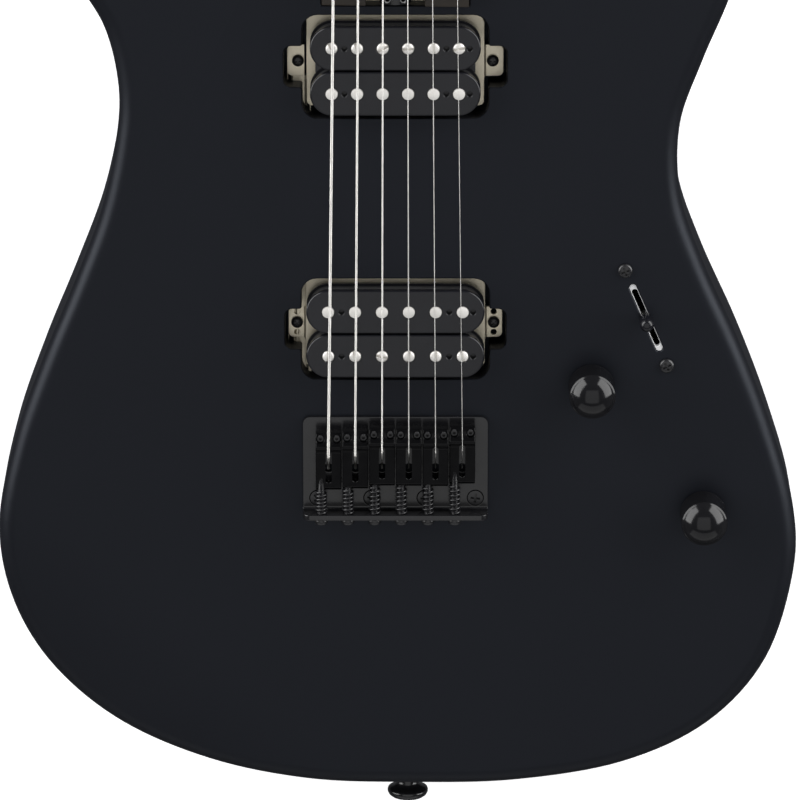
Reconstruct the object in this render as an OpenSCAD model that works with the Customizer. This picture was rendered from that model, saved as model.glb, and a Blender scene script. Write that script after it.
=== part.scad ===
// Six-string solid-body electric guitar with a bolt-on neck, a fixed bridge and two direct-mounted
// double-coil pickups. It lies on its back, and lengths are in millimetres.
// Origin: on the back of the body, on the centre line, under the nominal bridge line.
// +Z is out of the front of the body, +Y is towards the headstock, +X is the thin-string side.

/* [Overall] */
// Scale length, from the nut to the nominal bridge line
scale_length = 647.7; // [540:0.1:780]
// Width of the body across its lower bout
body_width = 317; // [264:1:381]
// Length of the body behind the bridge line
tail_reach = 154.5; // [140:0.5:186]
// Thickness of the body
body_thickness = 44.5; // [40:0.5:54]
// Radius of the rounded body edges
edge_radius = 9; // [5:0.5:11]

/* [Strings] */
// Distance from one string to the next at the bridge
bridge_pitch = 10.5; // [10:0.05:12.6]
// Distance from one string to the next at the nut
nut_pitch = 7; // [6:0.05:8.4]
// Height of the strings over the body at the saddles
string_height = 13; // [12:0.1:15]
// String diameters, thick to thin
gauges = [1.168, 0.914, 0.66, 0.432, 0.33, 0.254];
// How far each saddle is set back for tuning, thick to thin
set_back = [2.5, 1.8, 0.5, 0.6, 0.8, 0];

/* [Neck] */
// Depth of the neck pocket in the body
pocket_depth = 16; // [14:0.5:19]
// Length of the neck pocket
pocket_length = 76; // [64:1:90]
// Thickness of the neck wood at the heel
heel_thickness = 19.4; // [18:0.1:23]
// Thickness of the fingerboard on the centre line
board_thickness = 5.6; // [4.8:0.1:6.7]
// Radius of the fingerboard across its width
board_radius = 355; // [240:5:425]
// Edge of the fingerboard beyond the outer strings
board_margin = 3.95; // [3:0.05:5]
// Number of frets
fret_count = 22; // [20:1:22]
// Height of the frets over the board
fret_height = 1.1; // [0.9:0.05:1.4]
// Depth of the neck wood under the board at the nut
neck_depth = 14.5; // [13:0.1:17]
// Thickness of the headstock
headstock_thickness = 14; // [12:0.5:16]

/* [Pickups] */
// Distance from the bridge line to the middle of the bridge pickup
bridge_pickup_y = 37.6; // [32:0.1:45]
// Distance from the neck heel to the middle of the neck pickup
neck_pickup_gap = 24.6; // [23:0.1:30]
// Distance between the two pole rows of a pickup
row_pitch = 18.1; // [18:0.1:20]
// Width of one bobbin
bobbin_width = 17.6; // [16:0.1:17.9]
// Height of the bobbin tops over the body
pickup_height = 7; // [5:0.5:8]
// Depth of the pickup pockets
rout_depth = 16; // [15:0.5:19]

/* [Bridge] */
// Width of the bridge plate
plate_width = 73; // [70:0.5:87]
// Length of the bridge plate
plate_length = 40.3; // [40:0.1:48]
// Thickness of the bridge plate
plate_thickness = 2; // [1.6:0.1:2.4]
// Height of the rear wall of the bridge
wall_height = 10.5; // [9:0.1:12.5]
// Length of a saddle
saddle_length = 24; // [22:0.1:25]

/* [Controls] */
// Diameter of the knobs
knob_diameter = 18.4; // [16:0.1:22]
// Height of the knobs
knob_height = 18.6; // [16:0.1:22]
// Distance from the tone knob to the widest line of the body
control_inset = 37; // [33:0.5:44]
// Angle of the row of knobs and the switch slot from the cross direction
slot_angle = 113.2; // [105:0.1:120]
// Length of the switch slot
slot_length = 29.6; // [29:0.1:34]
// Diameter of the hole in the output jack
jack_bore = 6.5; // [6.4:0.05:6.6]

/* [Tuners] */
// Distance along the neck from one string post to the next
post_pitch = 24.6; // [24:0.1:29]
// Distance from the nut to the first string post
first_post = 36; // [34:0.5:43]
// Diameter of a string post
post_diameter = 6; // [5:0.1:7]

/* [Fits] */
// Radial clearance of a turning shaft in its bore
running_gap = 0.05; // [0.02:0.01:0.08]
// Gap between pieces that lie side by side
side_gap = 0.4; // [0.3:0.05:0.5]
// Gap between wood and a piece set into it
wood_gap = 0.15; // [0.1:0.05:0.3]

/* [Hidden] */
$fn = 64;
eps = 0.01;
through = 200;
string_numbers = [0:5];

// Levels over the back of the body
top = body_thickness;
mid = top / 2;
pocket_z = top - pocket_depth;
board_z = pocket_z + heel_thickness;
board_top = board_z + board_thickness;
break_z = top + string_height;
nut_string_z = board_top + fret_height + 0.45;
headstock_z = board_z - 5;
headstock_back = headstock_z - headstock_thickness;

// Places along the neck
function fret_y(n) = scale_length / pow(2, n / 12);
board_end_y = fret_y(fret_count) - 6.5;
heel_y = board_end_y - 6.8;
neck_pickup_y = heel_y - neck_pickup_gap;
nut_length = 3.5;
nut_width = 5 * nut_pitch + 2 * board_margin;
heel_width = 5 * bridge_pitch + 4.3;
function neck_width(y) = nut_width + (heel_width - nut_width) * (scale_length - y) / (scale_length - heel_y);

// Colours
satin_black = [0.13, 0.13, 0.15];
gloss_black = [0.06, 0.06, 0.07];
steel = [0.75, 0.75, 0.76];
nickel = [0.72, 0.68, 0.6];
maple = [0.83, 0.66, 0.42];
ebony = [0.1, 0.09, 0.09];
pearl = [0.9, 0.9, 0.86];

// ---- Outline of the body -------------------------------------------------------------------

// Points of the outline at its nominal size, anticlockwise from the strap button at the tail
nominal_half_width = 158.5;
nominal_tail = 154.5;
nominal_heel = 168.5;
outline_points = [
    [5, -154.5], [48, -153.4], [91, -145.6], [125, -128.5], [147.6, -101.5], [158, -65], [157.3, -36.8],
    [147.9, -3.3], [135.3, 30], [120.6, 63], [111.2, 91], [110.6, 119], [118.9, 144.5], [129.5, 171],
    [136.5, 197], [135.5, 222], [127, 244], [113, 258], [98, 259], [88, 247], [78, 228], [63, 214],
    [46, 213], [36.5, 227], [29.5, 240], [15, 247], [-16, 249], [-32, 244], [-41, 231], [-56, 226],
    [-70, 236], [-78, 258], [-84, 284], [-92.5, 306], [-104.5, 315], [-117, 308.5], [-127, 288], [-135, 258],
    [-139, 228], [-135, 200], [-124, 178], [-112.5, 158], [-107.4, 134], [-108.8, 112], [-115, 84],
    [-126, 54.5], [-138.5, 24], [-150.3, -10], [-157.1, -46], [-151.8, -77.8], [-136, -105.5],
    [-109.5, -128.6], [-74, -144.6], [-35, -152.9]
];
tail_button_point = 0;
horn_button_point = 34;
jack_point = 4;

half_width = body_width / 2;
// Toward the neck, only the stretch up to the heel follows the scale, and the horns keep their shape
function placed(p) = [
    p[0] * half_width / nominal_half_width,
    p[1] > 0
        ? p[1] + (heel_y - nominal_heel) * min(1, p[1] / nominal_heel)
        : p[1] * tail_reach / nominal_tail
];
body_points = [for (p = outline_points) placed(p)];

function wrapped(list, k) = list[(k + len(list)) % len(list)];
// One point of the smooth curve through a closed list of points, after point k by the share t
function curve_point(list, k, t) =
    let (
        a = wrapped(list, k - 1),
        b = wrapped(list, k),
        c = wrapped(list, k + 1),
        d = wrapped(list, k + 2)
    )
    0.5 * (2 * b + (c - a) * t + (2 * a - 5 * b + 4 * c - d) * t * t + (3 * b - a - 3 * c + d) * t * t * t);
function smooth_loop(list, steps) = [
    for (k = [0:len(list) - 1]) for (s = [0:steps - 1]) curve_point(list, k, s / steps)
];
function outward(list, k) =
    let (run = wrapped(list, k + 1) - wrapped(list, k - 1))
    [run[1], -run[0]] / norm(run);
function inset_loop(list, distance) = [for (k = [0:len(list) - 1]) list[k] - distance * outward(list, k)];

// Moves children to a point of the body outline at mid thickness, with +Z pointing out of the wood
module on_edge(k) {
    way = outward(body_points, k);
    translate([body_points[k][0], body_points[k][1], mid])
        rotate([0, 0, atan2(way[1], way[0])])
            rotate([0, 90, 0])
                children();
}

// ---- Shared shapes -------------------------------------------------------------------------

module rod(from, to, d) {
    run = to - from;
    translate(from)
        rotate([0, acos(run[2] / norm(run)), atan2(run[1], run[0])])
            cylinder(d = d, h = norm(run));
}

module stadium(length, width) {
    square([length - width, width], center = true);
    for (side = [-1, 1]) translate([side * (length - width) / 2, 0]) circle(d = width);
}

module rounded_rectangle(length, width, radius) {
    square([length - 2 * radius, width], center = true);
    square([length, width - 2 * radius], center = true);
    for (x = [-1, 1]) for (y = [-1, 1])
        translate([x * (length / 2 - radius), y * (width / 2 - radius)]) circle(r = radius);
}

module round_ended_slot(from, to, width) {
    hull() {
        translate(from) circle(d = width);
        translate(to) circle(d = width);
    }
}

// A screw with its head's underside at the origin and its shank going down
module screw(head_d, head_h, shank_d, length) {
    cylinder(d = head_d, h = head_h);
    translate([0, 0, -length]) cylinder(d = shank_d, h = length + eps);
}

// A countersunk screw with the face of its head at the origin and its shank going down
module flat_screw(head_d, shank_d, length) {
    head_h = (head_d - shank_d) / 2;
    translate([0, 0, -head_h]) cylinder(d1 = shank_d, d2 = head_d, h = head_h);
    translate([0, 0, -length]) cylinder(d = shank_d, h = length - head_h + eps);
}

// ---- Strings -------------------------------------------------------------------------------

saddle_front = 0.2;
crown_from_front = 5.2;
hole_y = -19;
string_bend = 3.4;
function bridge_x(i) = (i - 2.5) * bridge_pitch;
function nut_x(i) = (i - 2.5) * nut_pitch;
function crown_y(i) = saddle_front - crown_from_front - set_back[i];
// Drop of a string at x from the board's crown, so that the strings follow its curve
function camber(x) = x * x / (2 * board_radius);
function crown_point(i) =
    [bridge_x(i), crown_y(i), break_z + gauges[i] / 2 - camber(bridge_x(i))];
function nut_point(i) =
    [nut_x(i), scale_length + nut_length / 2, nut_string_z + gauges[i] / 2 - camber(nut_x(i))];
function string_slope(i) = (nut_x(i) - bridge_x(i)) / (nut_point(i)[1] - crown_y(i));
function post_y(i) = scale_length + first_post + i * post_pitch;
wind_z = headstock_z + 7.2;
wind_turns = 3;
post_waist = post_diameter - 1;
wind_gap = 0.03;
function string_x_at_post(i) = nut_x(i) + string_slope(i) * (post_y(i) - nut_point(i)[1]);
function post_centre(i) =
    [string_x_at_post(i) - post_waist / 2 - gauges[i] / 2 - wind_gap, post_y(i)];
function wind_point(i) = [string_x_at_post(i), post_y(i) - 0.2, wind_z + gauges[i] / 2];
ball_z = 4.2;
ball_height = 3.2;
ball_diameter = 3.8;
string_hole = 3.4;

function string_route(i) =
    let (
        crown = crown_point(i),
        behind = [crown[0], crown[1] - string_bend, crown[2]]
    )
    [
        [bridge_x(i), hole_y, ball_z + ball_height / 2],
        [bridge_x(i), hole_y, top + plate_thickness],
        behind,
        crown,
        nut_point(i),
        wind_point(i)
    ];

module strings() {
    color(steel)
        for (i = string_numbers) {
            route = string_route(i);
            for (k = [0:len(route) - 2]) rod(route[k], route[k + 1], gauges[i]);
            for (k = [1:len(route) - 2]) translate(route[k]) sphere(d = gauges[i] * 1.04);
            translate([bridge_x(i), hole_y, ball_z]) cylinder(d = ball_diameter, h = ball_height);
        }
}

module string_ferrules() {
    color(gloss_black)
        for (i = string_numbers)
            translate([bridge_x(i), hole_y, 0]) {
                difference() {
                    union() {
                        cylinder(d = ferrule_flange, h = ferrule_rim);
                        cylinder(d = ferrule_barrel, h = ferrule_depth);
                    }
                    translate([0, 0, -1]) cylinder(d = ball_diameter + 0.6, h = ball_z + ball_height + 1.2);
                    cylinder(d = 2, h = through);
                }
            }
}
ferrule_flange = bridge_pitch - 1.1;
ferrule_rim = 1;
ferrule_barrel = 7.6;
ferrule_depth = 9.6;

// ---- Body ----------------------------------------------------------------------------------

outline_steps = 3;
round_steps = 4;
// How far the rounded edge runs on past the flat faces, which then trim it
overrun = 0.2;
function round_inset(s) = edge_radius * (1 - sin(90 * s / round_steps));
function round_rise(s) = edge_radius * (1 - cos(90 * s / round_steps));
overrun_inset = edge_radius + overrun * (edge_radius - round_inset(1)) / round_rise(1);
// Rings of the rounded slab from the back to the front, each as [inset, height]
slab_rings = concat(
    [[overrun_inset, -overrun]],
    [for (s = [1:round_steps]) [round_inset(s), round_rise(s)]],
    [for (s = [round_steps:-1:1]) [round_inset(s), top - round_rise(s)]],
    [[overrun_inset, top + overrun]]
);

module rounded_slab() {
    loop = smooth_loop(body_points, outline_steps);
    count = len(loop);
    rings = [for (r = slab_rings) let (edge = inset_loop(loop, r[0])) [for (p = edge) [p[0], p[1], r[1]]]];
    points = [for (ring = rings) for (p = ring) p];
    sides = [
        for (r = [0:len(rings) - 2]) for (k = [0:count - 1])
            let (n = (k + 1) % count)
            [r * count + k, (r + 1) * count + k, (r + 1) * count + n, r * count + n]
    ];
    back = [for (k = [0:count - 1]) k];
    front = [for (k = [count - 1:-1:0]) (len(rings) - 1) * count + k];
    intersection() {
        polyhedron(points, concat([back, front], sides), convexity = 8);
        translate([-body_width, -2 * tail_reach, 0]) cube([2 * body_width, 2 * scale_length, top]);
    }
}

module heel_outline(gap) {
    start = heel_y - gap;
    end = heel_y + pocket_length + 60;
    polygon([
        [-neck_width(start) / 2 - gap, start],
        [neck_width(start) / 2 + gap, start],
        [neck_width(end) / 2 + gap, end],
        [-neck_width(end) / 2 - gap, end]
    ]);
}

pocket_margin = 1.2;
ear_width = 14;
function rout_length(k) = pickup_lengths[k] + 2 * pocket_margin + 0.6;
function pickup_y(k) = k == 0 ? neck_pickup_y : bridge_pickup_y;
pickup_lengths = [69, 70.4];
rout_width = 2 * bobbin_width + 6;
tab_reach = 42;

module pickup_rout(k) {
    translate([0, pickup_y(k), top - rout_depth])
        linear_extrude(rout_depth + 1) {
            rounded_rectangle(rout_length(k), rout_width, 6);
            rounded_rectangle(2 * (tab_reach + pocket_margin), ear_width + 2 * pocket_margin, 3);
        }
}

// Control places on the front
tone_at = [half_width - control_inset, -38];
volume_at = tone_at + [-44.5, 52.5];
switch_at = volume_at + [21.1, 27.7];
slot_way = [cos(slot_angle), sin(slot_angle)];
switch_screw_pitch = 42.3;
jack_way = outward(body_points, jack_point);
jack_at = body_points[jack_point];
jack_hole = 22;
jack_depth = 46;
cavity_ceiling = top - 6.5;
ledge = 5.2;
cover_thickness = 2;
// Round corners of the control cavity, each as [x, y, radius, screw direction]
cavity_corners = [
    concat(switch_at + 22 * slot_way, [10, 110]),
    concat(switch_at - 22 * slot_way, [11, 20]),
    concat(volume_at, [16, 190]),
    concat(tone_at, [16, 10]),
    concat(jack_at - jack_depth * jack_way, [12, 250])
];

module cavity_outline(grow) {
    hull()
        for (c = cavity_corners) translate([c[0], c[1]]) circle(r = c[2] + grow);
}

module on_cover_screws() {
    for (c = cavity_corners)
        translate([c[0] + (c[2] + ledge / 2) * cos(c[3]), c[1] + (c[2] + ledge / 2) * sin(c[3]), 0])
            children();
}

module on_switch_screws() {
    for (side = [-1, 1])
        translate(concat(switch_at + side * switch_screw_pitch / 2 * slot_way, [top])) children();
}

plate_screw_x = 19;
plate_screw_y = [16, 60];
module on_neck_screws() {
    for (x = [-1, 1]) for (y = plate_screw_y) translate([x * plate_screw_x, heel_y + y, 0]) children();
}
neck_screw_d = 4.2;
neck_plate_size = [51, 64];
neck_plate_thickness = 1.8;

bridge_screw_y = -31.5;
bridge_screw_places = [-30.6, -bridge_pitch + 1.2, bridge_pitch + 1.2, 31.5];
small_screw_d = 2.8;
tab_hole_x = [37.8, 38.6];
mount_screw_length = 20;
jack_plate_size = [40, 26];
jack_plate_thickness = 1.5;
jack_plate_sink = 3.6;
jack_screw_x = 15.5;
button_spot = 14;
button_sink = 0.9;
pot_bushing_d = 9.4;

module body_cuts() {
    translate([0, 0, pocket_z]) linear_extrude(through) heel_outline(wood_gap);
    for (k = [0, 1]) pickup_rout(k);
    // wire drillings from pocket to pocket and on to the control cavity
    rod([0, neck_pickup_y, top - rout_depth + 4], [0, bridge_pickup_y, top - rout_depth + 4], 7);
    rod([30, bridge_pickup_y, top - rout_depth + 4], [volume_at[0], volume_at[1], top - rout_depth + 4], 7);
    translate([0, 0, -1]) linear_extrude(cavity_ceiling + 1) cavity_outline(0);
    translate([0, 0, -1]) linear_extrude(cover_thickness + wood_gap + 1) cavity_outline(ledge + wood_gap);
    on_cover_screws() cylinder(d = small_screw_d, h = 16);
    for (at = [volume_at, tone_at])
        translate(concat(at, [mid])) cylinder(d = pot_bushing_d + 0.6, h = through);
    translate([0, 0, mid])
        linear_extrude(through)
            round_ended_slot(
                switch_at - (slot_length - 3) / 2 * slot_way,
                switch_at + (slot_length - 3) / 2 * slot_way,
                3
            );
    on_switch_screws() translate([0, 0, -10]) cylinder(d = 3.4, h = 20);
    on_edge(jack_point) {
        translate([0, 0, -jack_depth]) cylinder(d = jack_hole, h = jack_depth + 20);
        translate([0, 0, -jack_plate_sink])
            linear_extrude(20)
                rotate(90)
                    rounded_rectangle(jack_plate_size[0] + 0.6, jack_plate_size[1] + 0.6, 5);
        for (side = [-1, 1])
            translate([0, side * jack_screw_x, -18]) cylinder(d = small_screw_d, h = 20);
    }
    for (i = string_numbers)
        translate([bridge_x(i), hole_y, 0]) {
            cylinder(d = string_hole, h = through);
            translate([0, 0, -1]) cylinder(d = ferrule_flange + 2 * wood_gap, h = ferrule_rim + 1);
            translate([0, 0, -1]) cylinder(d = ferrule_barrel + 2 * wood_gap, h = ferrule_depth + 1);
        }
    translate([0, heel_y + neck_plate_size[1] / 2 + 6, -1])
        linear_extrude(neck_plate_thickness + 1)
            rounded_rectangle(neck_plate_size[0] + 2 * wood_gap, neck_plate_size[1] + 2 * wood_gap, 6);
    on_neck_screws() cylinder(d = neck_screw_d + 0.4, h = through);
    for (k = [tail_button_point, horn_button_point])
        on_edge(k) {
            translate([0, 0, -button_sink]) cylinder(d = button_spot, h = 20);
            translate([0, 0, -26]) cylinder(d = 3.8, h = 40);
        }
    for (x = bridge_screw_places)
        translate([x, bridge_screw_y, top - 24]) cylinder(d = small_screw_d, h = 40);
    for (k = [0, 1]) for (side = [-1, 1])
        translate([side * tab_hole_x[k], pickup_y(k), top - rout_depth - 14])
            cylinder(d = small_screw_d, h = 40);
}

module body() {
    color(satin_black)
        difference() {
            rounded_slab();
            body_cuts();
        }
}

// ---- Neck ----------------------------------------------------------------------------------

slice_points = 16;
// A thin slice of the rounded back of the neck, under the board plane
module neck_slice(y, depth) {
    half = neck_width(y) / 2;
    translate([0, y, board_z])
        rotate([90, 0, 0])
            linear_extrude(1)
                polygon([for (s = [0:slice_points]) [
                    half * cos(180 * s / slice_points),
                    -depth * pow(sin(180 * s / slice_points), 0.8)
                ]]);
}

post_line = post_centre(5) - post_centre(0);
post_way = post_line / norm(post_line);
button_way = [-post_way[1], post_way[0]];
head_margin = 13.5;
head_start = scale_length + nut_length;
head_points = [
    [nut_width / 2 - 0.5, head_start - 2],
    [nut_width / 2 + 1.5, head_start + 14],
    [nut_width / 2 + 6, head_start + 34],
    [nut_width / 2 + 7, head_start + 66],
    post_centre(5) - 15 * button_way - 14 * post_way,
    post_centre(5) - 12 * button_way + 10 * post_way,
    post_centre(5) - 3 * button_way + 22 * post_way,
    post_centre(5) + 8 * button_way + 20 * post_way,
    post_centre(5) + head_margin * button_way + 8 * post_way,
    post_centre(4) + head_margin * button_way,
    post_centre(2) + head_margin * button_way,
    post_centre(0) + head_margin * button_way,
    post_centre(0) + 10 * button_way - 14 * post_way,
    [-nut_width / 2 - 1.5, head_start + 12],
    [-nut_width / 2 + 0.5, head_start - 2]
];
rod_z = board_z - 6.5;
rod_diameter = 6;
wheel_radius = 6.2;
wheel_notch = 22.8;
wheel_notch_depth = 6.4;
bushing_shank = 8.4;

module neck() {
    color(maple)
        difference() {
            union() {
                intersection() {
                    translate([0, 0, pocket_z]) linear_extrude(heel_thickness) heel_outline(0);
                    translate([-50, heel_y - 1, 0]) cube([100, pocket_length + 11, 100]);
                }
                hull() {
                    neck_slice(heel_y + pocket_length + 10, heel_thickness - 1);
                    neck_slice(heel_y + pocket_length + 60, neck_depth + 1.6);
                }
                hull() {
                    neck_slice(heel_y + pocket_length + 60, neck_depth + 1.6);
                    neck_slice(head_start, neck_depth);
                }
                hull() {
                    neck_slice(head_start, neck_depth);
                    translate([-nut_width / 2, head_start + 12, headstock_back + 1])
                        cube([nut_width, 10, headstock_thickness - 1.5]);
                }
                translate([0, 0, headstock_back])
                    linear_extrude(headstock_thickness) polygon(smooth_loop(head_points, 5));
            }
            rod([0, heel_y - 1, rod_z], [0, scale_length - 22, rod_z], rod_diameter + 0.3);
            translate([-wheel_notch / 2, heel_y - 1, rod_z - wheel_radius - 1.2])
                cube([wheel_notch, wheel_notch_depth + 1, 60]);
            on_neck_screws() cylinder(d = neck_screw_d, h = pocket_z + 13);
            for (i = string_numbers)
                translate(concat(post_centre(i), [0])) cylinder(d = bushing_shank + 0.2, h = 100);
            for (i = string_numbers) on_tuner(i) housing_screw_place() cylinder(d = 1.8, h = 8);
        }
}

module board_cylinder(radius) {
    translate([0, board_end_y - 20, board_top - board_radius])
        rotate([-90, 0, 0])
            cylinder(r = radius, h = scale_length, $fn = 720);
}

module board_outline(y1, y2) {
    polygon([
        [-neck_width(y1) / 2, y1],
        [neck_width(y1) / 2, y1],
        [neck_width(y2) / 2, y2],
        [-neck_width(y2) / 2, y2]
    ]);
}

dot_diameter = 6.35;
dot_depth = 1.4;
single_dots = [3, 5, 7, 9, 15, 17, 19];
function dot_y(n) = (fret_y(n) + fret_y(n - 1)) / 2;
module on_dots() {
    for (n = single_dots) translate([0, dot_y(n), 0]) children();
    for (side = [-1, 1]) translate([side * 2 * nut_pitch / 2, dot_y(12), 0]) children();
}
tang_width = 0.6;
tang_depth = 1.8;
crown_width = 2.6;

module fingerboard() {
    color(ebony)
        difference() {
            intersection() {
                translate([0, 0, board_z])
                    linear_extrude(board_thickness + 1) board_outline(board_end_y, scale_length);
                board_cylinder(board_radius);
            }
            on_dots() translate([0, 0, board_top - dot_depth]) cylinder(d = dot_diameter, h = 10);
            for (n = [1:fret_count])
                translate([-50, fret_y(n) - tang_width / 2, board_top - tang_depth - 1])
                    cube([100, tang_width, 10]);
        }
}

module inlay_dots() {
    color(pearl)
        on_dots() translate([0, 0, board_top - dot_depth]) cylinder(d = dot_diameter, h = dot_depth - 0.1);
}

module frets() {
    color(steel)
        for (n = [1:fret_count])
            intersection() {
                difference() {
                    translate([0, 0, board_top - tang_depth - 1])
                        linear_extrude(10)
                            board_outline(fret_y(n) - crown_width / 2, fret_y(n) + crown_width / 2);
                    difference() {
                        board_cylinder(board_radius);
                        translate([-50, fret_y(n) - tang_width / 2, board_top - 20])
                            cube([100, tang_width, 40]);
                    }
                }
                board_cylinder(board_radius + fret_height);
            }
}

module nut() {
    color(gloss_black)
        difference() {
            translate([-nut_width / 2, scale_length, board_z])
                cube([nut_width, nut_length, nut_string_z + 1.4 - board_z]);
            for (i = string_numbers) {
                at = nut_point(i);
                width = gauges[i] + 2 * running_gap;
                translate([at[0] - width / 2, scale_length - 1, at[2]]) cube([width, nut_length + 2, 10]);
                translate([at[0], scale_length - 1, at[2]])
                    rotate([-90, 0, 0]) cylinder(d = width, h = nut_length + 2);
            }
        }
}

module truss_rod() {
    color(steel)
        rod([0, heel_y + 0.6, rod_z], [0, scale_length - 24, rod_z], rod_diameter);
}

module truss_wheel() {
    color(gloss_black)
        translate([0, heel_y + 0.7, rod_z])
            rotate([-90, 0, 0])
                difference() {
                    cylinder(r = wheel_radius, h = wheel_notch_depth - 1.2);
                    translate([0, 0, -1]) cylinder(d = rod_diameter + 2 * running_gap, h = 20);
                    for (k = [0:5])
                        rotate([0, 0, 60 * k])
                            translate([4.6, 0, (wheel_notch_depth - 1.2) / 2])
                                rotate([0, 90, 0]) cylinder(d = 2.4, h = 10);
                }
}

module neck_plate() {
    color(gloss_black)
        difference() {
            translate([0, heel_y + neck_plate_size[1] / 2 + 6, 0])
                linear_extrude(neck_plate_thickness)
                    rounded_rectangle(neck_plate_size[0], neck_plate_size[1], 6);
            on_neck_screws() {
                translate([0, 0, -1]) cylinder(d = neck_screw_d + 0.4, h = 10);
                translate([0, 0, -eps]) cylinder(d1 = 8.3, d2 = 4.9, h = 1.71);
            }
        }
}

module neck_screws() {
    color(gloss_black)
        on_neck_screws()
            rotate([180, 0, 0])
                flat_screw(7.6, neck_screw_d, pocket_z + 12);
}

// ---- Small fasteners -----------------------------------------------------------------------

module small_screws() {
    color(gloss_black) {
        on_cover_screws() translate([0, 0, 0.1]) rotate([180, 0, 0]) flat_screw(4.6, small_screw_d - 0.2, 14);
        on_switch_screws() screw(5.8, 1.8, 3, 9);
        on_edge(jack_point)
            for (side = [-1, 1])
                translate([0, side * jack_screw_x, jack_plate_thickness - jack_plate_sink])
                    screw(5, 1.4, small_screw_d - 0.2, 13);
        for (x = bridge_screw_places)
            translate([x, bridge_screw_y, top + plate_thickness]) flat_screw(6, small_screw_d - 0.2, 22);
        for (i = string_numbers)
            on_tuner(i) housing_screw_place()
                translate([0, 0, -housing_ear - 0.02]) rotate([180, 0, 0]) screw(3.4, 1, 1.6, 9.5);
    }
}

button_profile = [
    [0, 0], [6.2, 0], [6.2, 1], [4.6, 3], [4.3, 6], [5, 8.2], [7.6, 9.2], [8.15, 10.2], [7.9, 11.6],
    [6.4, 12.8], [3.4, 13.4], [0, 13.5]
];
module strap_buttons() {
    color(gloss_black)
        for (k = [tail_button_point, horn_button_point])
            on_edge(k)
                translate([0, 0, -button_sink]) {
                    rotate_extrude() polygon(button_profile);
                    translate([0, 0, -24]) cylinder(d = 3.6, h = 24 + eps);
                }
}

// ---- Pickups -------------------------------------------------------------------------------

bobbin_lengths = [66, 69.7];
pole_pitch = [9.84, 10.5];
base_width = 36.6;
base_thickness = 1.2;
magnet_thickness = 3.2;
bobbin_height = 11.5;
flange_top = 2.6;
flange_low = 1.5;
tab_drop = 2.2;
pickup_top = top + pickup_height;
bobbin_base = pickup_top - bobbin_height;
base_z = bobbin_base - magnet_thickness - base_thickness - 0.1;
tab_z = base_z - tab_drop;
pole_diameter = 4.7;
fixing_diameter = 2.2;
function row_y(k, side) = pickup_y(k) + side * row_pitch / 2;
// The neck pickup's screw row is nearer the neck, and the bridge pickup's nearer the bridge
function screw_row(k) = k == 0 ? 1 : -1;

module on_poles(k) {
    for (i = string_numbers) translate([(i - 2.5) * pole_pitch[k], 0, 0]) children();
}

module pickup_baseplates() {
    color(nickel)
        for (k = [0, 1])
            translate([0, pickup_y(k), 0])
                difference() {
                    union() {
                        translate([0, 0, base_z])
                            linear_extrude(base_thickness)
                                rounded_rectangle(pickup_lengths[k], base_width, 2);
                        for (side = [-1, 1]) {
                            translate([side * (pickup_lengths[k] / 2 - 0.5), 0, base_z - tab_drop / 2 + 0.6])
                                cube([1, ear_width - 1.4, tab_drop + 1.2], center = true);
                            translate([side * (pickup_lengths[k] / 4 + tab_reach / 2 - 0.25), 0, tab_z + 0.6])
                                cube([tab_reach - pickup_lengths[k] / 2 + 0.5, ear_width - 1.4, 1.2], center = true);
                        }
                    }
                    for (side = [-1, 1])
                        translate([side * tab_hole_x[k], 0, 0]) cylinder(d = small_screw_d + 0.4, h = 100);
                    for (side = [-1, 1]) translate([0, side * row_pitch / 2, 0])
                        on_poles(k) cylinder(d = pole_diameter + 0.3, h = 100);
                }
}

module pickup_bobbins() {
    color(gloss_black)
        for (k = [0, 1]) for (side = [-1, 1])
            translate([0, row_y(k, side), bobbin_base])
                difference() {
                    union() {
                        linear_extrude(flange_low) stadium(bobbin_lengths[k], bobbin_width);
                        linear_extrude(bobbin_height) stadium(5 * pole_pitch[k] + 7, 6.4);
                        translate([0, 0, bobbin_height - flange_top])
                            linear_extrude(flange_top) stadium(bobbin_lengths[k], bobbin_width);
                    }
                    on_poles(k) translate([0, 0, -1]) cylinder(d = pole_diameter + 0.1, h = 20);
                    for (x = [-2, 2])
                        translate([x * pole_pitch[k], 0, bobbin_height - flange_top - 1])
                            cylinder(d = fixing_diameter, h = 20);
                }
}

module pickup_coils() {
    color(gloss_black)
        for (k = [0, 1]) for (side = [-1, 1])
            translate([0, row_y(k, side), bobbin_base + flange_low + 0.02])
                linear_extrude(bobbin_height - flange_low - flange_top - 0.04)
                    difference() {
                        stadium(bobbin_lengths[k] - 1.6, bobbin_width - 1.4);
                        stadium(5 * pole_pitch[k] + 7.1, 6.5);
                    }
}

module pickup_magnets() {
    color([0.35, 0.35, 0.36])
        for (k = [0, 1])
            translate([0, pickup_y(k), base_z + base_thickness + 0.05 + magnet_thickness / 2])
                cube([62, 12.4, magnet_thickness], center = true);
}

module pickup_poles() {
    color(steel)
        for (k = [0, 1]) {
            translate([0, row_y(k, -screw_row(k)), base_z + base_thickness + 0.1])
                on_poles(k) cylinder(d = pole_diameter, h = pickup_top - base_z - base_thickness + 0.3);
            translate([0, row_y(k, screw_row(k)), base_z - 3])
                on_poles(k)
                    difference() {
                        union() {
                            cylinder(d = 3.2, h = pickup_top - base_z + 3);
                            translate([0, 0, pickup_top - base_z + 3 - 1.4]) cylinder(d = pole_diameter, h = 2.2);
                        }
                        translate([-5, -0.45, pickup_top - base_z + 3]) cube([10, 0.9, 3]);
                    }
        }
}

module pickup_mount_screws() {
    color(gloss_black)
        for (k = [0, 1]) for (side = [-1, 1])
            translate([side * tab_hole_x[k], pickup_y(k), tab_z + 1.22])
                screw(4.6, 2, small_screw_d - 0.2, mount_screw_length - 2);
}

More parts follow.
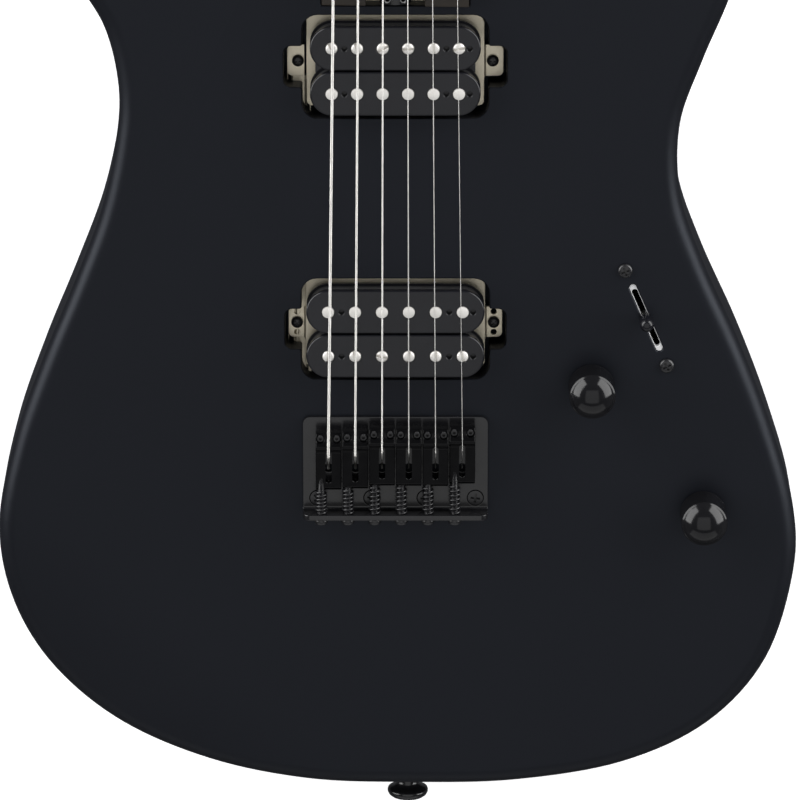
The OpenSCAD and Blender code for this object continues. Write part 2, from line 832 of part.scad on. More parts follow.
// ---- Bridge --------------------------------------------------------------------------------

plate_front = 2.1;
wall_thickness = 2.2;
wall_y = plate_front - plate_length;
screw_z = top + 7.4;
screw_offset = 2.95;
intonation_d = 3;
saddle_gap = side_gap;
saddle_bottom = top + plate_thickness + 3;
slot_width = 2.4;
height_screw_d = 3;
function saddle_y(i) = saddle_front - set_back[i];
function screw_x(i) = bridge_x(i) - screw_offset;

module bridge_plate() {
    color(gloss_black)
        difference() {
            union() {
                translate([0, plate_front - plate_length / 2, top])
                    linear_extrude(plate_thickness) rounded_rectangle(plate_width, plate_length, 3);
                translate([0, wall_y + wall_thickness, top])
                    rotate([90, 0, 0])
                        linear_extrude(wall_thickness)
                            polygon([
                                [-plate_width / 2 + 3, 0],
                                [plate_width / 2 - 3, 0],
                                [plate_width / 2 - 3, wall_height - 3],
                                [plate_width / 2 - 6, wall_height],
                                [-plate_width / 2 + 6, wall_height],
                                [-plate_width / 2 + 3, wall_height - 3]
                            ]);
            }
            for (i = string_numbers) {
                translate([bridge_x(i), hole_y, 0]) cylinder(d = string_hole, h = 100);
                translate([screw_x(i), wall_y - 5, screw_z])
                    rotate([-90, 0, 0]) cylinder(d = intonation_d + 0.3, h = 10);
            }
            for (x = bridge_screw_places)
                translate([x, bridge_screw_y, top]) {
                    translate([0, 0, -1]) cylinder(d = small_screw_d + 0.2, h = 10);
                    translate([0, 0, plate_thickness - 1.8]) cylinder(d1 = 3, d2 = 6.6, h = 1.81);
                }
        }
}

module saddle(i) {
    low = camber(bridge_x(i));
    crown_z = break_z - low - 0.06;
    width = bridge_pitch - saddle_gap;
    body_top = crown_z - 1.6;
    color(gloss_black) {
        difference() {
            translate([bridge_x(i) - width / 2, saddle_y(i), 0])
                rotate([90, 0, 90])
                    linear_extrude(width)
                        polygon([
                            [0, saddle_bottom],
                            [0, body_top - 2],
                            [-crown_from_front + 2, body_top - 0.6],
                            [-crown_from_front + 0.5, crown_z],
                            [-crown_from_front - 0.5, crown_z],
                            [-crown_from_front - 2.6, body_top - 0.4],
                            [-saddle_length + 1, body_top - 2.2],
                            [-saddle_length, body_top - 3.2],
                            [-saddle_length, saddle_bottom]
                        ]);
            translate([bridge_x(i) - slot_width / 2, saddle_y(i) - saddle_length + 2.4, 0])
                cube([slot_width, saddle_length - crown_from_front - 3, 100]);
            for (side = [-1, 1])
                translate([bridge_x(i) + side * 3.2, saddle_y(i) - 2.2, 0])
                    cylinder(d = height_screw_d + 2 * running_gap, h = 100);
            translate([screw_x(i), saddle_y(i) - saddle_length - 1, screw_z])
                rotate([-90, 0, 0])
                    cylinder(d = intonation_d + 2 * running_gap, h = saddle_length - crown_from_front);
        }
        for (side = [-1, 1])
            translate([bridge_x(i) + side * 3.2, saddle_y(i) - 2.2, top + plate_thickness + 0.05])
                difference() {
                    cylinder(d = height_screw_d, h = body_top - 1.8 - top - plate_thickness);
                    translate([0, 0, body_top - 3.2 - top - plate_thickness])
                        cylinder(d = 1.5, h = 10, $fn = 6);
                }
    }
}

head_length = 2.4;
module intonation_screw(i) {
    color(gloss_black)
        translate([screw_x(i), wall_y - 0.05, screw_z])
            rotate([-90, 0, 0])
                difference() {
                    union() {
                        translate([0, 0, -head_length]) cylinder(d = 5.4, h = head_length);
                        cylinder(d = intonation_d, h = 21);
                    }
                    for (a = [0, 90])
                        rotate([0, 0, a])
                            translate([-1.6, -0.35, -head_length - 1]) cube([3.2, 0.7, 2.2]);
                }
}

spring_wire = 0.7;
spring_turns = 6;
module intonation_springs() {
    color(gloss_black)
        for (i = string_numbers) {
            first = wall_y + wall_thickness + spring_wire / 2 + 0.1;
            last = saddle_y(i) - saddle_length - spring_wire / 2 - 0.1;
            for (t = [0:spring_turns - 1])
                translate([screw_x(i), first + (last - first) * t / (spring_turns - 1), screw_z])
                    rotate([-90, 0, 0])
                        rotate_extrude()
                            translate([intonation_d / 2 + spring_wire / 2 + 0.12, 0])
                                circle(d = spring_wire, $fn = 16);
        }
}

// ---- Controls ------------------------------------------------------------------------------

shaft_diameter = 6;
knob_lift = 0.8;
nut_across = 12.6;
panel_nut_height = 2.2;
pot_can_d = 24;
pot_can_height = 10;
knob_recess_d = 15.4;
knob_dome = 3.4;
module knob(at) {
    radius = knob_diameter / 2;
    rim = knob_height - knob_dome;
    color(gloss_black)
        translate(concat(at, [top + knob_lift]))
            difference() {
                rotate_extrude()
                    polygon(concat(
                        [[0, 0], [radius, 0], [radius, rim - 0.6], [radius - 0.6, rim]],
                        [for (s = [0:6])
                            let (a = 90 * s / 6)
                            [(radius - 1.2) * cos(a), rim + knob_dome * sin(a)]]
                    ));
                translate([0, 0, -1]) cylinder(d = knob_recess_d, h = 4.4);
                cylinder(d = shaft_diameter + 0.04, h = rim - 1.6);
            }
}

module pot_shaft(at) {
    color(steel)
        translate(concat(at, [cavity_ceiling - pot_can_height + 2]))
            cylinder(d = shaft_diameter, h = top - cavity_ceiling + pot_can_height + knob_height - knob_dome - 4);
}

module pot_cans() {
    color(steel)
        for (at = [volume_at, tone_at])
            translate(concat(at, [cavity_ceiling]))
                difference() {
                    union() {
                        translate([0, 0, -pot_can_height - 0.1]) cylinder(d = pot_can_d, h = pot_can_height);
                        translate([0, 0, -1]) cylinder(d = pot_bushing_d, h = top - cavity_ceiling + 4.4);
                        for (x = [-5, 0, 5])
                            translate([x - 1.2, pot_can_d / 2 - 3, -pot_can_height]) cube([2.4, 8, 0.8]);
                    }
                    translate([0, 0, -pot_can_height + 1.6])
                        cylinder(d = shaft_diameter + 2 * running_gap, h = 40);
                    translate([0, 0, -pot_can_height + 1.2]) cylinder(d = 20, h = 6);
                }
}

module hex_nut(bore) {
    difference() {
        cylinder(d = nut_across / cos(30), h = panel_nut_height, $fn = 6);
        translate([0, 0, -1]) cylinder(d = bore, h = 10);
    }
}

module panel_nuts() {
    color(steel) {
        for (at = [volume_at, tone_at])
            translate(concat(at, [top + 0.02])) hex_nut(pot_bushing_d + 0.1);
        on_edge(jack_point)
            translate([0, 0, jack_plate_thickness - jack_plate_sink + 0.02]) hex_nut(jack_barrel + 0.1);
    }
}

pivot_depth = 20;
pivot_diameter = 3;
cheek_gap = 4.6;
cheek_thickness = 1.2;
lever_thickness = 1.8;
lever_width = 5;
tip_diameter = 5.6;
tip_height = 8.3;
tip_clearance = 3.1;
// Moves children to the switch, with +X along the slot and the origin on the front of the body
module on_switch() {
    translate(concat(switch_at, [top])) rotate([0, 0, slot_angle]) children();
}

module switch_frame() {
    frame_z = cavity_ceiling - top;
    color(steel)
        on_switch() {
            difference() {
                translate([-24, -7, frame_z - 1.6]) cube([48, 14, 1.5]);
                translate([0, 0, frame_z - 5]) linear_extrude(10) stadium(slot_length + 1, 4.4);
                for (side = [-1, 1])
                    translate([side * switch_screw_pitch / 2, 0, frame_z - 5]) cylinder(d = 3.1, h = 10);
            }
            for (side = [-1, 1])
                translate([0, side * (cheek_gap / 2 + cheek_thickness / 2), -pivot_depth])
                    translate([-15, -cheek_thickness / 2, -8])
                        cube([30, cheek_thickness, pivot_depth + frame_z + 8 - 1.55]);
            translate([0, cheek_gap / 2 + cheek_thickness / 2, -pivot_depth])
                rotate([90, 0, 0])
                    cylinder(d = pivot_diameter, h = cheek_gap + cheek_thickness);
        }
}

module switch_lever() {
    color(steel)
        on_switch()
            difference() {
                union() {
                    translate([-lever_width / 2, -lever_thickness / 2, -pivot_depth])
                        cube([lever_width, lever_thickness, pivot_depth + 8]);
                    translate([0, lever_thickness / 2, -pivot_depth])
                        rotate([90, 0, 0]) cylinder(r = 7, h = lever_thickness);
                }
                translate([0, 10, -pivot_depth])
                    rotate([90, 0, 0]) cylinder(d = pivot_diameter + 2 * running_gap, h = 20);
            }
}

module switch_tip() {
    color(gloss_black)
        on_switch()
            difference() {
                translate([0, 0, tip_clearance])
                    rotate_extrude()
                        polygon([
                            [0, 0], [tip_diameter / 2 - 0.6, 0], [tip_diameter / 2, 1],
                            [tip_diameter / 2, tip_height - 2], [tip_diameter / 2 - 0.6, tip_height - 0.6],
                            [0, tip_height]
                        ]);
                translate([-lever_width / 2 - 0.02, -lever_thickness / 2 - 0.02, -1])
                    cube([lever_width + 0.04, lever_thickness + 0.04, 9.1]);
            }
}

jack_barrel = 9.4;
jack_body = 15;
jack_length = 33;
module output_jack() {
    color(steel)
        on_edge(jack_point)
            translate([0, 0, -jack_plate_sink])
                difference() {
                    union() {
                        translate([0, 0, -jack_length]) cylinder(d = jack_body, h = jack_length - 0.1);
                        translate([0, 0, -1]) cylinder(d = jack_barrel, h = jack_plate_thickness + 4);
                    }
                    translate([0, 0, -jack_length + 3]) cylinder(d = jack_bore, h = 60);
                }
}

module jack_plate() {
    color(gloss_black)
        on_edge(jack_point)
            translate([0, 0, -jack_plate_sink])
                linear_extrude(jack_plate_thickness)
                    difference() {
                        rotate(90) rounded_rectangle(jack_plate_size[0], jack_plate_size[1], 4.7);
                        circle(d = jack_barrel + 0.3);
                        for (side = [-1, 1]) translate([0, side * jack_screw_x]) circle(d = small_screw_d + 0.2);
                    }
}

module cavity_cover() {
    color(gloss_black)
        difference() {
            linear_extrude(cover_thickness) cavity_outline(ledge);
            on_cover_screws() {
                translate([0, 0, -1]) cylinder(d = small_screw_d + 0.2, h = 10);
                translate([0, 0, -eps]) cylinder(d1 = 5.2, d2 = 3, h = 1.12);
            }
        }
}

// ---- Tuners --------------------------------------------------------------------------------

housing_size = [19, 15.4, 11];
worm_offset = 7.2;
gear_diameter = 9;
worm_diameter = 4.6;
worm_shaft = 3.4;
button_size = [12, 18, 6.4];
button_from_post = 20;
shaft_z = headstock_back - housing_size[2] / 2;
gear_thickness = 4;

// Moves children to a tuner, with +X along its button shaft, +Y along the row and +Z up
module on_tuner(i) {
    translate(concat(post_centre(i), [headstock_back]))
        rotate([0, 0, atan2(button_way[1], button_way[0])])
            children();
}

// Thickness of the ear that the screw of a housing goes through
housing_ear = 2;
module housing_screw_place() {
    translate([-9.2, 5.2, 0]) children();
}

module tuner_housings() {
    color(gloss_black)
        for (i = string_numbers)
            on_tuner(i)
                difference() {
                    union() {
                        translate([-7.4, -worm_offset - 5, -housing_size[2]])
                            cube([housing_size[0], housing_size[1] + 2, housing_size[2] - 0.05]);
                        translate([-11, 2.6, -housing_ear]) cube([5, 5.2, housing_ear - 0.05]);
                        translate([0, worm_y, -housing_size[2] / 2])
                            rotate([0, 90, 0]) cylinder(d = 8, h = 15.4);
                    }
                    translate([0, 0, -housing_size[2] / 2 - gear_thickness / 2 - 0.4])
                        cylinder(d = gear_diameter + 0.8, h = gear_thickness + 0.8);
                    translate([-6, worm_y, -housing_size[2] / 2])
                        rotate([0, 90, 0]) cylinder(d = worm_diameter + 0.6, h = 12.6);
                    translate([5, worm_y, -housing_size[2] / 2])
                        rotate([0, 90, 0]) cylinder(d = worm_shaft + 2 * running_gap, h = 40);
                    translate([0, 0, -housing_size[2] / 2]) cylinder(d = post_diameter + 0.4, h = 40);
                    housing_screw_place() translate([0, 0, -10]) cylinder(d = 1.9, h = 20);
                }
}
worm_y = -worm_offset;

module tuner_bushings() {
    color(gloss_black)
        for (i = string_numbers)
            translate(concat(post_centre(i), [headstock_z]))
                difference() {
                    union() {
                        translate([0, 0, -headstock_thickness + 1]) cylinder(d = bushing_shank, h = headstock_thickness);
                        translate([0, 0, 0.02]) cylinder(d = 13.6, h = 0.9);
                        translate([0, 0, 0.9]) cylinder(d = 11.2, h = 2, $fn = 6);
                    }
                    translate([0, 0, -50]) cylinder(d = post_diameter + 2 * running_gap, h = 100);
                }
}

module tuner_post(i) {
    bottom = -housing_size[2] / 2;
    wind_d = gauges[i];
    color(gloss_black)
        on_tuner(i)
            difference() {
                union() {
                    translate([0, 0, bottom - gear_thickness / 2]) cylinder(d = gear_diameter, h = gear_thickness);
                    translate([0, 0, bottom])
                        cylinder(d = post_diameter, h = -bottom + headstock_thickness + 3.6);
                    cylinder(d = post_waist, h = headstock_thickness + 12);
                    translate([0, 0, headstock_thickness + 11]) cylinder(d = post_diameter, h = 2);
                }
                translate([0, 10, headstock_thickness + 9]) rotate([90, 0, 0]) cylinder(d = 1.6, h = 20);
            }
    color(steel)
        for (t = [1:wind_turns])
            translate(concat(post_centre(i), [wind_z + wind_d / 2 - t * (wind_d + wind_gap)]))
                rotate_extrude()
                    translate([post_waist / 2 + wind_d / 2 + wind_gap, 0]) circle(d = wind_d - wind_gap);
}

module tuner_button(i) {
    color(gloss_black)
        on_tuner(i)
            translate([0, worm_y, -housing_size[2] / 2])
                rotate([0, 90, 0]) {
                    translate([0, 0, -5.6]) cylinder(d = worm_diameter, h = 11.8);
                    translate([0, 0, 6]) cylinder(d = worm_shaft, h = button_from_post - 4);
                    translate([-button_size[2] / 2, 0, button_from_post + button_size[0] / 2])
                        rotate([0, 90, 0])
                            linear_extrude(button_size[2])
                                rotate(90) stadium(button_size[1], button_size[0]);
                }
}

// ---- Pieces --------------------------------------------------------------------------------

body();
neck();
fingerboard();
frets();
inlay_dots();
nut();
truss_rod();
truss_wheel();
neck_plate();
neck_screws();
small_screws();
strap_buttons();
pickup_baseplates();
pickup_bobbins();
pickup_coils();
pickup_magnets();
pickup_poles();
pickup_mount_screws();
bridge_plate();
string_ferrules();
intonation_springs();
tuner_housings();
tuner_bushings();
knob(volume_at);  // volume_knob
knob(tone_at);  // tone_knob
pot_shaft(volume_at);  // volume_shaft
pot_shaft(tone_at);  // tone_shaft
pot_cans();
panel_nuts();
switch_frame();
switch_lever();
switch_tip();
output_jack();
jack_plate();
cavity_cover();
strings();
for (i = string_numbers) {
    saddle(i);
    intonation_screw(i);
    tuner_post(i);
    tuner_button(i);
}
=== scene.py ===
"""Builds the finished surfaces of a six-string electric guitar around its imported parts.

The guitar lies on its back. +Z is out of its front, +Y towards the headstock, +X towards the thin
strings. Everything is in metres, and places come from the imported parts.
"""

import math
import random
from collections import namedtuple

import bmesh
import bpy
from mathutils import Matrix, Vector


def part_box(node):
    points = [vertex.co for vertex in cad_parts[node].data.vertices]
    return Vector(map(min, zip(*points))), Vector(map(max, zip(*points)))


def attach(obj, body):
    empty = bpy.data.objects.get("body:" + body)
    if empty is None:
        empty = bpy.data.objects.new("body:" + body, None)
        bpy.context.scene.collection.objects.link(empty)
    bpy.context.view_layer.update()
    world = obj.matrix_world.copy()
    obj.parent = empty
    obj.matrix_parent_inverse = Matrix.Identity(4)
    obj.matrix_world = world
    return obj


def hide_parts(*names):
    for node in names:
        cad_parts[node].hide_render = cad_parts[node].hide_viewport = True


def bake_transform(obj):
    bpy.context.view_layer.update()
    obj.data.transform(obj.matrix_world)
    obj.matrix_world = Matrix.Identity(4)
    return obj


bl_info = {
    "name": "Electric Guitar Finish",
    "version": (1, 0, 0),
    "blender": (4, 5, 0),
    "location": "View3D > Sidebar > Guitar",
    "description": "Builds the finished surfaces of a solid-body electric guitar around its packed parts",
    "category": "Add Mesh",
}

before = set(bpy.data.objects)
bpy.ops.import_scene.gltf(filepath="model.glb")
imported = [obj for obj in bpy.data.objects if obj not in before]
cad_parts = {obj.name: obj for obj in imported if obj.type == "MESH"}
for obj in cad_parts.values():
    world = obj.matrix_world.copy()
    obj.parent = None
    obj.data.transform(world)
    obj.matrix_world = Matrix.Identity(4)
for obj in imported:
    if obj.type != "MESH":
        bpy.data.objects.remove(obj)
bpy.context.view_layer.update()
MM = 0.001
CLOSE = 1e-6  # places nearer than this count as one
CLEAR = 5 * MM  # how far a cutter stands out of what it cuts
FULL_TURN = 2 * math.pi
HERE = Matrix()
X, Y, Z = range(3)
UP = Vector((0, 0, 1))
STRINGS = range(1, 7)

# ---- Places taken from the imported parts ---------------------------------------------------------


def centre(box):
    """Middle of a box given by its low and high corners."""
    return (box[0] + box[1]) / 2


def solids_of(node):
    """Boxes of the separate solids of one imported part, nearest the tail first."""
    bm = bmesh.new()
    bm.from_mesh(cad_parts[node].data)
    bmesh.ops.remove_doubles(bm, verts=bm.verts, dist=CLOSE)
    seen, boxes = set(), []
    for first in bm.verts:
        if first in seen:
            continue
        seen.add(first)
        waiting, low, high = [first], first.co.copy(), first.co.copy()
        while waiting:
            vert = waiting.pop()
            low, high = Vector(map(min, low, vert.co)), Vector(map(max, high, vert.co))
            for edge in vert.link_edges:
                other = edge.other_vert(vert)
                if other not in seen:
                    seen.add(other)
                    waiting.append(other)
        boxes.append((low, high))
    bm.free()
    return sorted(boxes, key=lambda box: (round(centre(box).y, 4), centre(box).x))


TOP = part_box("body")[1].z
MIDDLE = TOP / 2
HEEL_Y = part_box("neck")[0].y
BOARD_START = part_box("fingerboard")[0].y
BOARD_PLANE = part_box("fingerboard")[0].z
NUT_START, NUT_END = (corner.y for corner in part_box("nut"))
POSTS = [centre(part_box(f"tuner_post_{k}")) for k in STRINGS]
SWITCH_SCREWS = [
    centre(box)
    for box in solids_of("small_screws")
    if box[1].z > TOP + 1 * MM and box[0].x > 50 * MM and box[0].z > MIDDLE
]
SWITCH_AT = sum(SWITCH_SCREWS, Vector()) / 2
SLOT_WAY = (SWITCH_SCREWS[1] - SWITCH_SCREWS[0]).normalized()

# Outline of the body in millimetres, anticlockwise from the strap button at the tail
OUTLINE = [
    (5, -154.5), (48, -153.4), (91, -145.6), (125, -128.5), (147.6, -101.5), (158, -65), (157.3, -36.8),
    (147.9, -3.3), (135.3, 30), (120.6, 63), (111.2, 91), (110.6, 119), (118.9, 144.5), (129.5, 171),
    (136.5, 197), (135.5, 222), (127, 244), (113, 258), (98, 259), (88, 247), (78, 228), (63, 214),
    (46, 213), (36.5, 227), (29.5, 240), (15, 247), (-16, 249), (-32, 244), (-41, 231), (-56, 226),
    (-70, 236), (-78, 258), (-84, 284), (-92.5, 306), (-104.5, 315), (-117, 308.5), (-127, 288),
    (-135, 258), (-139, 228), (-135, 200), (-124, 178), (-112.5, 158), (-107.4, 134), (-108.8, 112),
    (-115, 84), (-126, 54.5), (-138.5, 24), (-150.3, -10), (-157.1, -46), (-151.8, -77.8),
    (-136, -105.5), (-109.5, -128.6), (-74, -144.6), (-35, -152.9),
]
STRAP_POINTS = (0, 34)
JACK_POINT = 4
JACK_DEPTH = 46 * MM

# ---- Shapes -------------------------------------------------------------------------------------


def smooth_loop(points, steps=8):
    """Points of the smooth curve through a closed list of points."""
    points = [Vector(p) for p in points]
    count, loop = len(points), []
    for k in range(count):
        a, b, c, d = (points[(k + n) % count] for n in (-1, 0, 1, 2))
        for s in range(steps):
            t = s / steps
            bend = 2 * a - 5 * b + 4 * c - d
            twist = 3 * b - a - 3 * c + d
            loop.append(0.5 * (2 * b + (c - a) * t + bend * t * t + twist * t**3))
    return loop


def edge_place(point):
    """A point of the outline halfway down the body's edge, and the way out of the body there."""
    run = Vector(OUTLINE[(point + 1) % len(OUTLINE)]) - Vector(OUTLINE[point - 1])
    at = Vector(OUTLINE[point]).to_3d() * MM + UP * MIDDLE
    return at, Vector((run.y, -run.x, 0)).normalized()


def draw_face(bm, face, way):
    """Draws a flat face along a vector into a closed solid and returns its far face."""
    drawn = bmesh.ops.extrude_face_region(bm, geom=[face])["geom"]
    bmesh.ops.translate(bm, verts=[g for g in drawn if isinstance(g, bmesh.types.BMVert)], vec=way)
    return next(g for g in drawn if isinstance(g, bmesh.types.BMFace))


def bar_of(corners, way):
    """A solid drawn along a vector from a flat face, given by its corners."""
    bm = bmesh.new()
    draw_face(bm, bm.faces.new([bm.verts.new(corner) for corner in corners]), way)
    return bm


def plate(bm, corners, low, high):
    """Adds a flat plate between two heights. Each corner is (x, y) or (x, y, radius)."""
    flat = bmesh.new()
    face = flat.faces.new([flat.verts.new((corner[0], corner[1], low)) for corner in corners])
    rounded = {}
    for vert, corner in zip(list(face.verts), corners):
        if len(corner) > 2:
            rounded.setdefault(corner[2], []).append(vert)
    for radius, verts in rounded.items():
        bmesh.ops.bevel(
            flat, geom=verts, offset=radius, offset_type="OFFSET", segments=6, profile=0.5,
            affect="VERTICES", material=-1,
        )
    draw_face(flat, next(iter(flat.faces)), (0, 0, high - low))
    put(bm, mesh_of(flat, "plate"))


def box_corners(x1, y1, x2, y2, *radius):
    """Corners of a rectangle, for plate()."""
    return [(x, y, *radius) for x, y in ((x1, y1), (x2, y1), (x2, y2), (x1, y2))]


def stadium(bm, length, width, middle, low, high, segments=48):
    """Adds a round-ended bar along X and returns its top face."""
    ring = bmesh.ops.create_circle(bm, cap_ends=True, radius=width / 2, segments=segments)["verts"]
    for vert in ring:
        if abs(vert.co.x) > 1e-7:
            vert.co.x += math.copysign((length - width) / 2, vert.co.x)
    bmesh.ops.translate(bm, verts=ring, vec=(middle[0], middle[1], low))
    return draw_face(bm, ring[0].link_faces[0], (0, 0, high - low))


def cylinder(bm, at, radius, low, high, segments=32):
    """Adds an upright cylinder."""
    stadium(bm, 2 * radius, 2 * radius, at, low, high, segments)


def runs(edge, axis):
    """Whether an edge goes some way along an axis."""
    return abs(edge.verts[0].co[axis] - edge.verts[1].co[axis]) > CLOSE


def lies_at(edge, axis, place):
    """Whether both ends of an edge are at one place along an axis."""
    return all(abs(vert.co[axis] - place) < CLOSE for vert in edge.verts)


def soften(bm, edges, width, segments=3):
    """Rounds the given edges."""
    bmesh.ops.bevel(
        bm, geom=list(edges), offset=width, offset_type="OFFSET", segments=segments, profile=0.5,
        affect="EDGES", clamp_overlap=False, material=-1,
    )


def sharp_edges(bm, angle=50, test=lambda edge: True):
    """Edges whose two faces meet at more than the angle, in degrees."""
    limit = math.radians(angle)
    return [e for e in bm.edges if e.is_manifold and e.calc_face_angle(0) > limit and test(e)]


def turned(profile, segments=48):
    """A solid turned round Z from (radius, height) points that start and end on the axis."""
    bm = bmesh.new()
    verts = [bm.verts.new((radius, 0, height)) for radius, height in profile]
    edges = [bm.edges.new(pair) for pair in zip(verts, verts[1:])]
    bmesh.ops.spin(
        bm, geom=verts + edges, cent=(0, 0, 0), axis=(0, 0, 1), angle=FULL_TURN, steps=segments,
        use_merge=True,
    )
    bmesh.ops.remove_doubles(bm, verts=bm.verts, dist=1e-7)
    bmesh.ops.recalc_face_normals(bm, faces=bm.faces)
    return bm


def mesh_of(bm, name):
    """Turns a bmesh into a mesh and frees it."""
    mesh = bpy.data.meshes.new(name)
    bm.to_mesh(mesh)
    bm.free()
    return mesh


def moved(bm, matrix):
    """The same bmesh, moved by a matrix."""
    bmesh.ops.transform(bm, matrix=matrix, verts=bm.verts)
    return bm


def put(bm, mesh, matrix=HERE):
    """Adds a copy of a mesh to a bmesh, moved by a matrix."""
    start = len(bm.verts)
    bm.from_mesh(mesh)
    bm.verts.ensure_lookup_table()
    bmesh.ops.transform(bm, matrix=matrix, verts=bm.verts[start:])


def seat(at, up=UP, twist=0.0):
    """Matrix that puts a piece made along +Z at a place, pointing up the given way."""
    turn = up.to_track_quat("Z", "Y").to_matrix().to_4x4()
    return Matrix.Translation(at) @ turn @ Matrix.Rotation(twist, 4, "Z")


def cut(bm, *cutters):
    """Cuts closed shapes out of a bmesh, one after another, and frees them."""
    for cutter in cutters:
        for shape in (bm, cutter):
            bmesh.ops.recalc_face_normals(shape, faces=shape.faces)
        blank_mesh, tool_mesh = bpy.data.meshes.new("blank"), mesh_of(cutter, "tool")
        bm.to_mesh(blank_mesh)
        blank, tool = (bpy.data.objects.new(m.name, m) for m in (blank_mesh, tool_mesh))
        for one in (blank, tool):
            bpy.context.scene.collection.objects.link(one)
        step = blank.modifiers.new("cut", "BOOLEAN")
        step.object, step.operation, step.solver = tool, "DIFFERENCE", "EXACT"
        graph = bpy.context.evaluated_depsgraph_get()
        result = bpy.data.meshes.new_from_object(blank.evaluated_get(graph))
        if not result.polygons:
            raise RuntimeError("a cut left nothing of the piece")
        bm.clear()
        bm.from_mesh(result)
        for one in (blank, tool):
            bpy.data.objects.remove(one)
        for mesh in (blank_mesh, tool_mesh, result):
            bpy.data.meshes.remove(mesh)
    return bm


# ---- Screws -------------------------------------------------------------------------------------


def cross_cutter(reach, width, low, high):
    """A plus-shaped cutter for a cross recess."""
    bm, w, r = bmesh.new(), width / 2, reach / 2
    quarter = [(w, w), (w, r), (-w, r)]
    corners = quarter + [(-y, x) for x, y in quarter]
    plate(bm, corners + [(-x, -y) for x, y in corners], low, high)
    return bm


def pan_head(diameter, height, name, shank=2 * MM):
    """A domed screw head with a cross recess, its underside at the origin."""
    r = diameter / 2
    dome = [(0.96, 0), (1, 0.1), (1, 0.4), (0.93, 0.66), (0.74, 0.87), (0.4, 0.98), (0, 1)]
    stem = [(0, -shank), (0.45 * r, -shank), (0.45 * r, 0)]
    bm = turned(stem + [(across * r, share * height) for across, share in dome])
    return mesh_of(cut(bm, cross_cutter(1.15 * r, 0.3 * r, 0.35 * height, height + 1 * MM)), name)


def flat_head(diameter, depth, name):
    """A countersunk screw head with a cross recess, its face just above the origin."""
    r, end = diameter / 2, -depth - 1 * MM
    cone = [(0.45, -1), (0.97, -0.1), (1, 0), (0.8, 0.06), (0, 0.09)]
    bm = turned([(0, end), (0.45 * r, end)] + [(across * r, share * depth) for across, share in cone], 40)
    return mesh_of(cut(bm, cross_cutter(1.25 * r, 0.3 * r, -0.7 * depth, depth)), name)


# ---- Finishes -----------------------------------------------------------------------------------


def shader_of(finish):
    """The one shader of a material."""
    return finish.node_tree.nodes["Principled BSDF"]


def add_node(finish, kind, *sources, **values):
    """Adds a node with socket values, links its first inputs, and returns it and its first output."""
    node = finish.node_tree.nodes.new("ShaderNode" + kind)
    for socket, value in values.items():
        node.inputs[socket.replace("_", " ")].default_value = value
    for socket, source in zip(node.inputs, sources):
        finish.node_tree.links.new(source, socket)
    return node, node.outputs[0]


def new_finish(name, colour, roughness, metallic=0.0, **sockets):
    """A material with one shader, its even values set on the shader's own sockets."""
    finish = bpy.data.materials.new(name)
    finish.use_nodes = True
    sockets |= {"Base_Color": (*colour, 1), "Roughness": roughness, "Metallic": metallic}
    for socket, value in sockets.items():
        shader_of(finish).inputs[socket.replace("_", " ")].default_value = value
    finish.diffuse_color = (*colour, 1)
    return finish


def place_coordinates(finish, stretch=(1, 1, 1)):
    """The piece's own coordinates in metres, stretched."""
    where = add_node(finish, "TexCoord")[0].outputs["Object"]
    return add_node(finish, "Mapping", where, Scale=stretch)[1]


def mottle(finish, scale, detail=4.0, stretch=(1, 1, 1), rough=0.5):
    """Cloudy noise over the piece."""
    where = place_coordinates(finish, stretch)
    return add_node(finish, "TexNoise", where, Scale=scale, Detail=detail, Roughness=rough)[0].outputs["Fac"]


def ripples(finish, scale, direction, distortion=0.0):
    """Even ripples along an axis."""
    where = place_coordinates(finish)
    wave = add_node(finish, "TexWave", where, Scale=scale, Distortion=distortion)[0]
    wave.bands_direction = direction
    return wave.outputs["Fac"]


def span(finish, source, low, high, from_low, from_high):
    """Maps a pattern onto a range of values."""
    values = {"From_Min": from_low, "From_Max": from_high, "To_Min": low, "To_Max": high}
    return add_node(finish, "MapRange", source, **values)[1]


def vary_roughness(finish, source, low, high):
    """Makes a surface duller and glossier by a pattern."""
    finish.node_tree.links.new(span(finish, source, low, high, 0.3, 0.7), shader_of(finish).inputs["Roughness"])


def vary_colour(finish, source, *stops):
    """Colours a surface from a pattern, by (place, colour) stops."""
    ramp, colour_out = add_node(finish, "ValToRGB", source)
    points = ramp.color_ramp.elements
    while len(points) < len(stops):
        points.new(0.5)
    for point, (at, colour) in zip(points, stops):
        point.position = at
        point.color = (*colour, 1)
    finish.node_tree.links.new(colour_out, shader_of(finish).inputs["Base Color"])


def emboss(finish, source, strength, depth):
    """Gives a surface relief from a pattern, its depth in millimetres."""
    bump, relief = add_node(finish, "Bump", Strength=strength, Distance=depth * MM)
    finish.node_tree.links.new(source, bump.inputs["Height"])
    finish.node_tree.links.new(relief, shader_of(finish).inputs["Normal"])


def shade(colour, share):
    """A colour made lighter or darker by a share."""
    return tuple(c * share for c in colour)


def drift(colour, dark, light):
    """Two colour stops, darker and lighter than a colour by the given shares."""
    return (0.3, shade(colour, dark)), (0.7, shade(colour, light))


def clouded(name, colour, tones, gloss, relief=None, **values):
    """A finish whose colour, roughness and relief each follow noise of their own.

    tones is (noise, stop, stop, ...), gloss is (noise, low, high) and relief is (noise, strength,
    depth in millimetres). Each noise is what mottle() takes.
    """
    finish = new_finish(name, colour, gloss[1], **values)
    vary_colour(finish, mottle(finish, *tones[0]), *tones[1:])
    vary_roughness(finish, mottle(finish, *gloss[0]), *gloss[1:])
    if relief:
        emboss(finish, mottle(finish, *relief[0]), *relief[1:])
    return finish


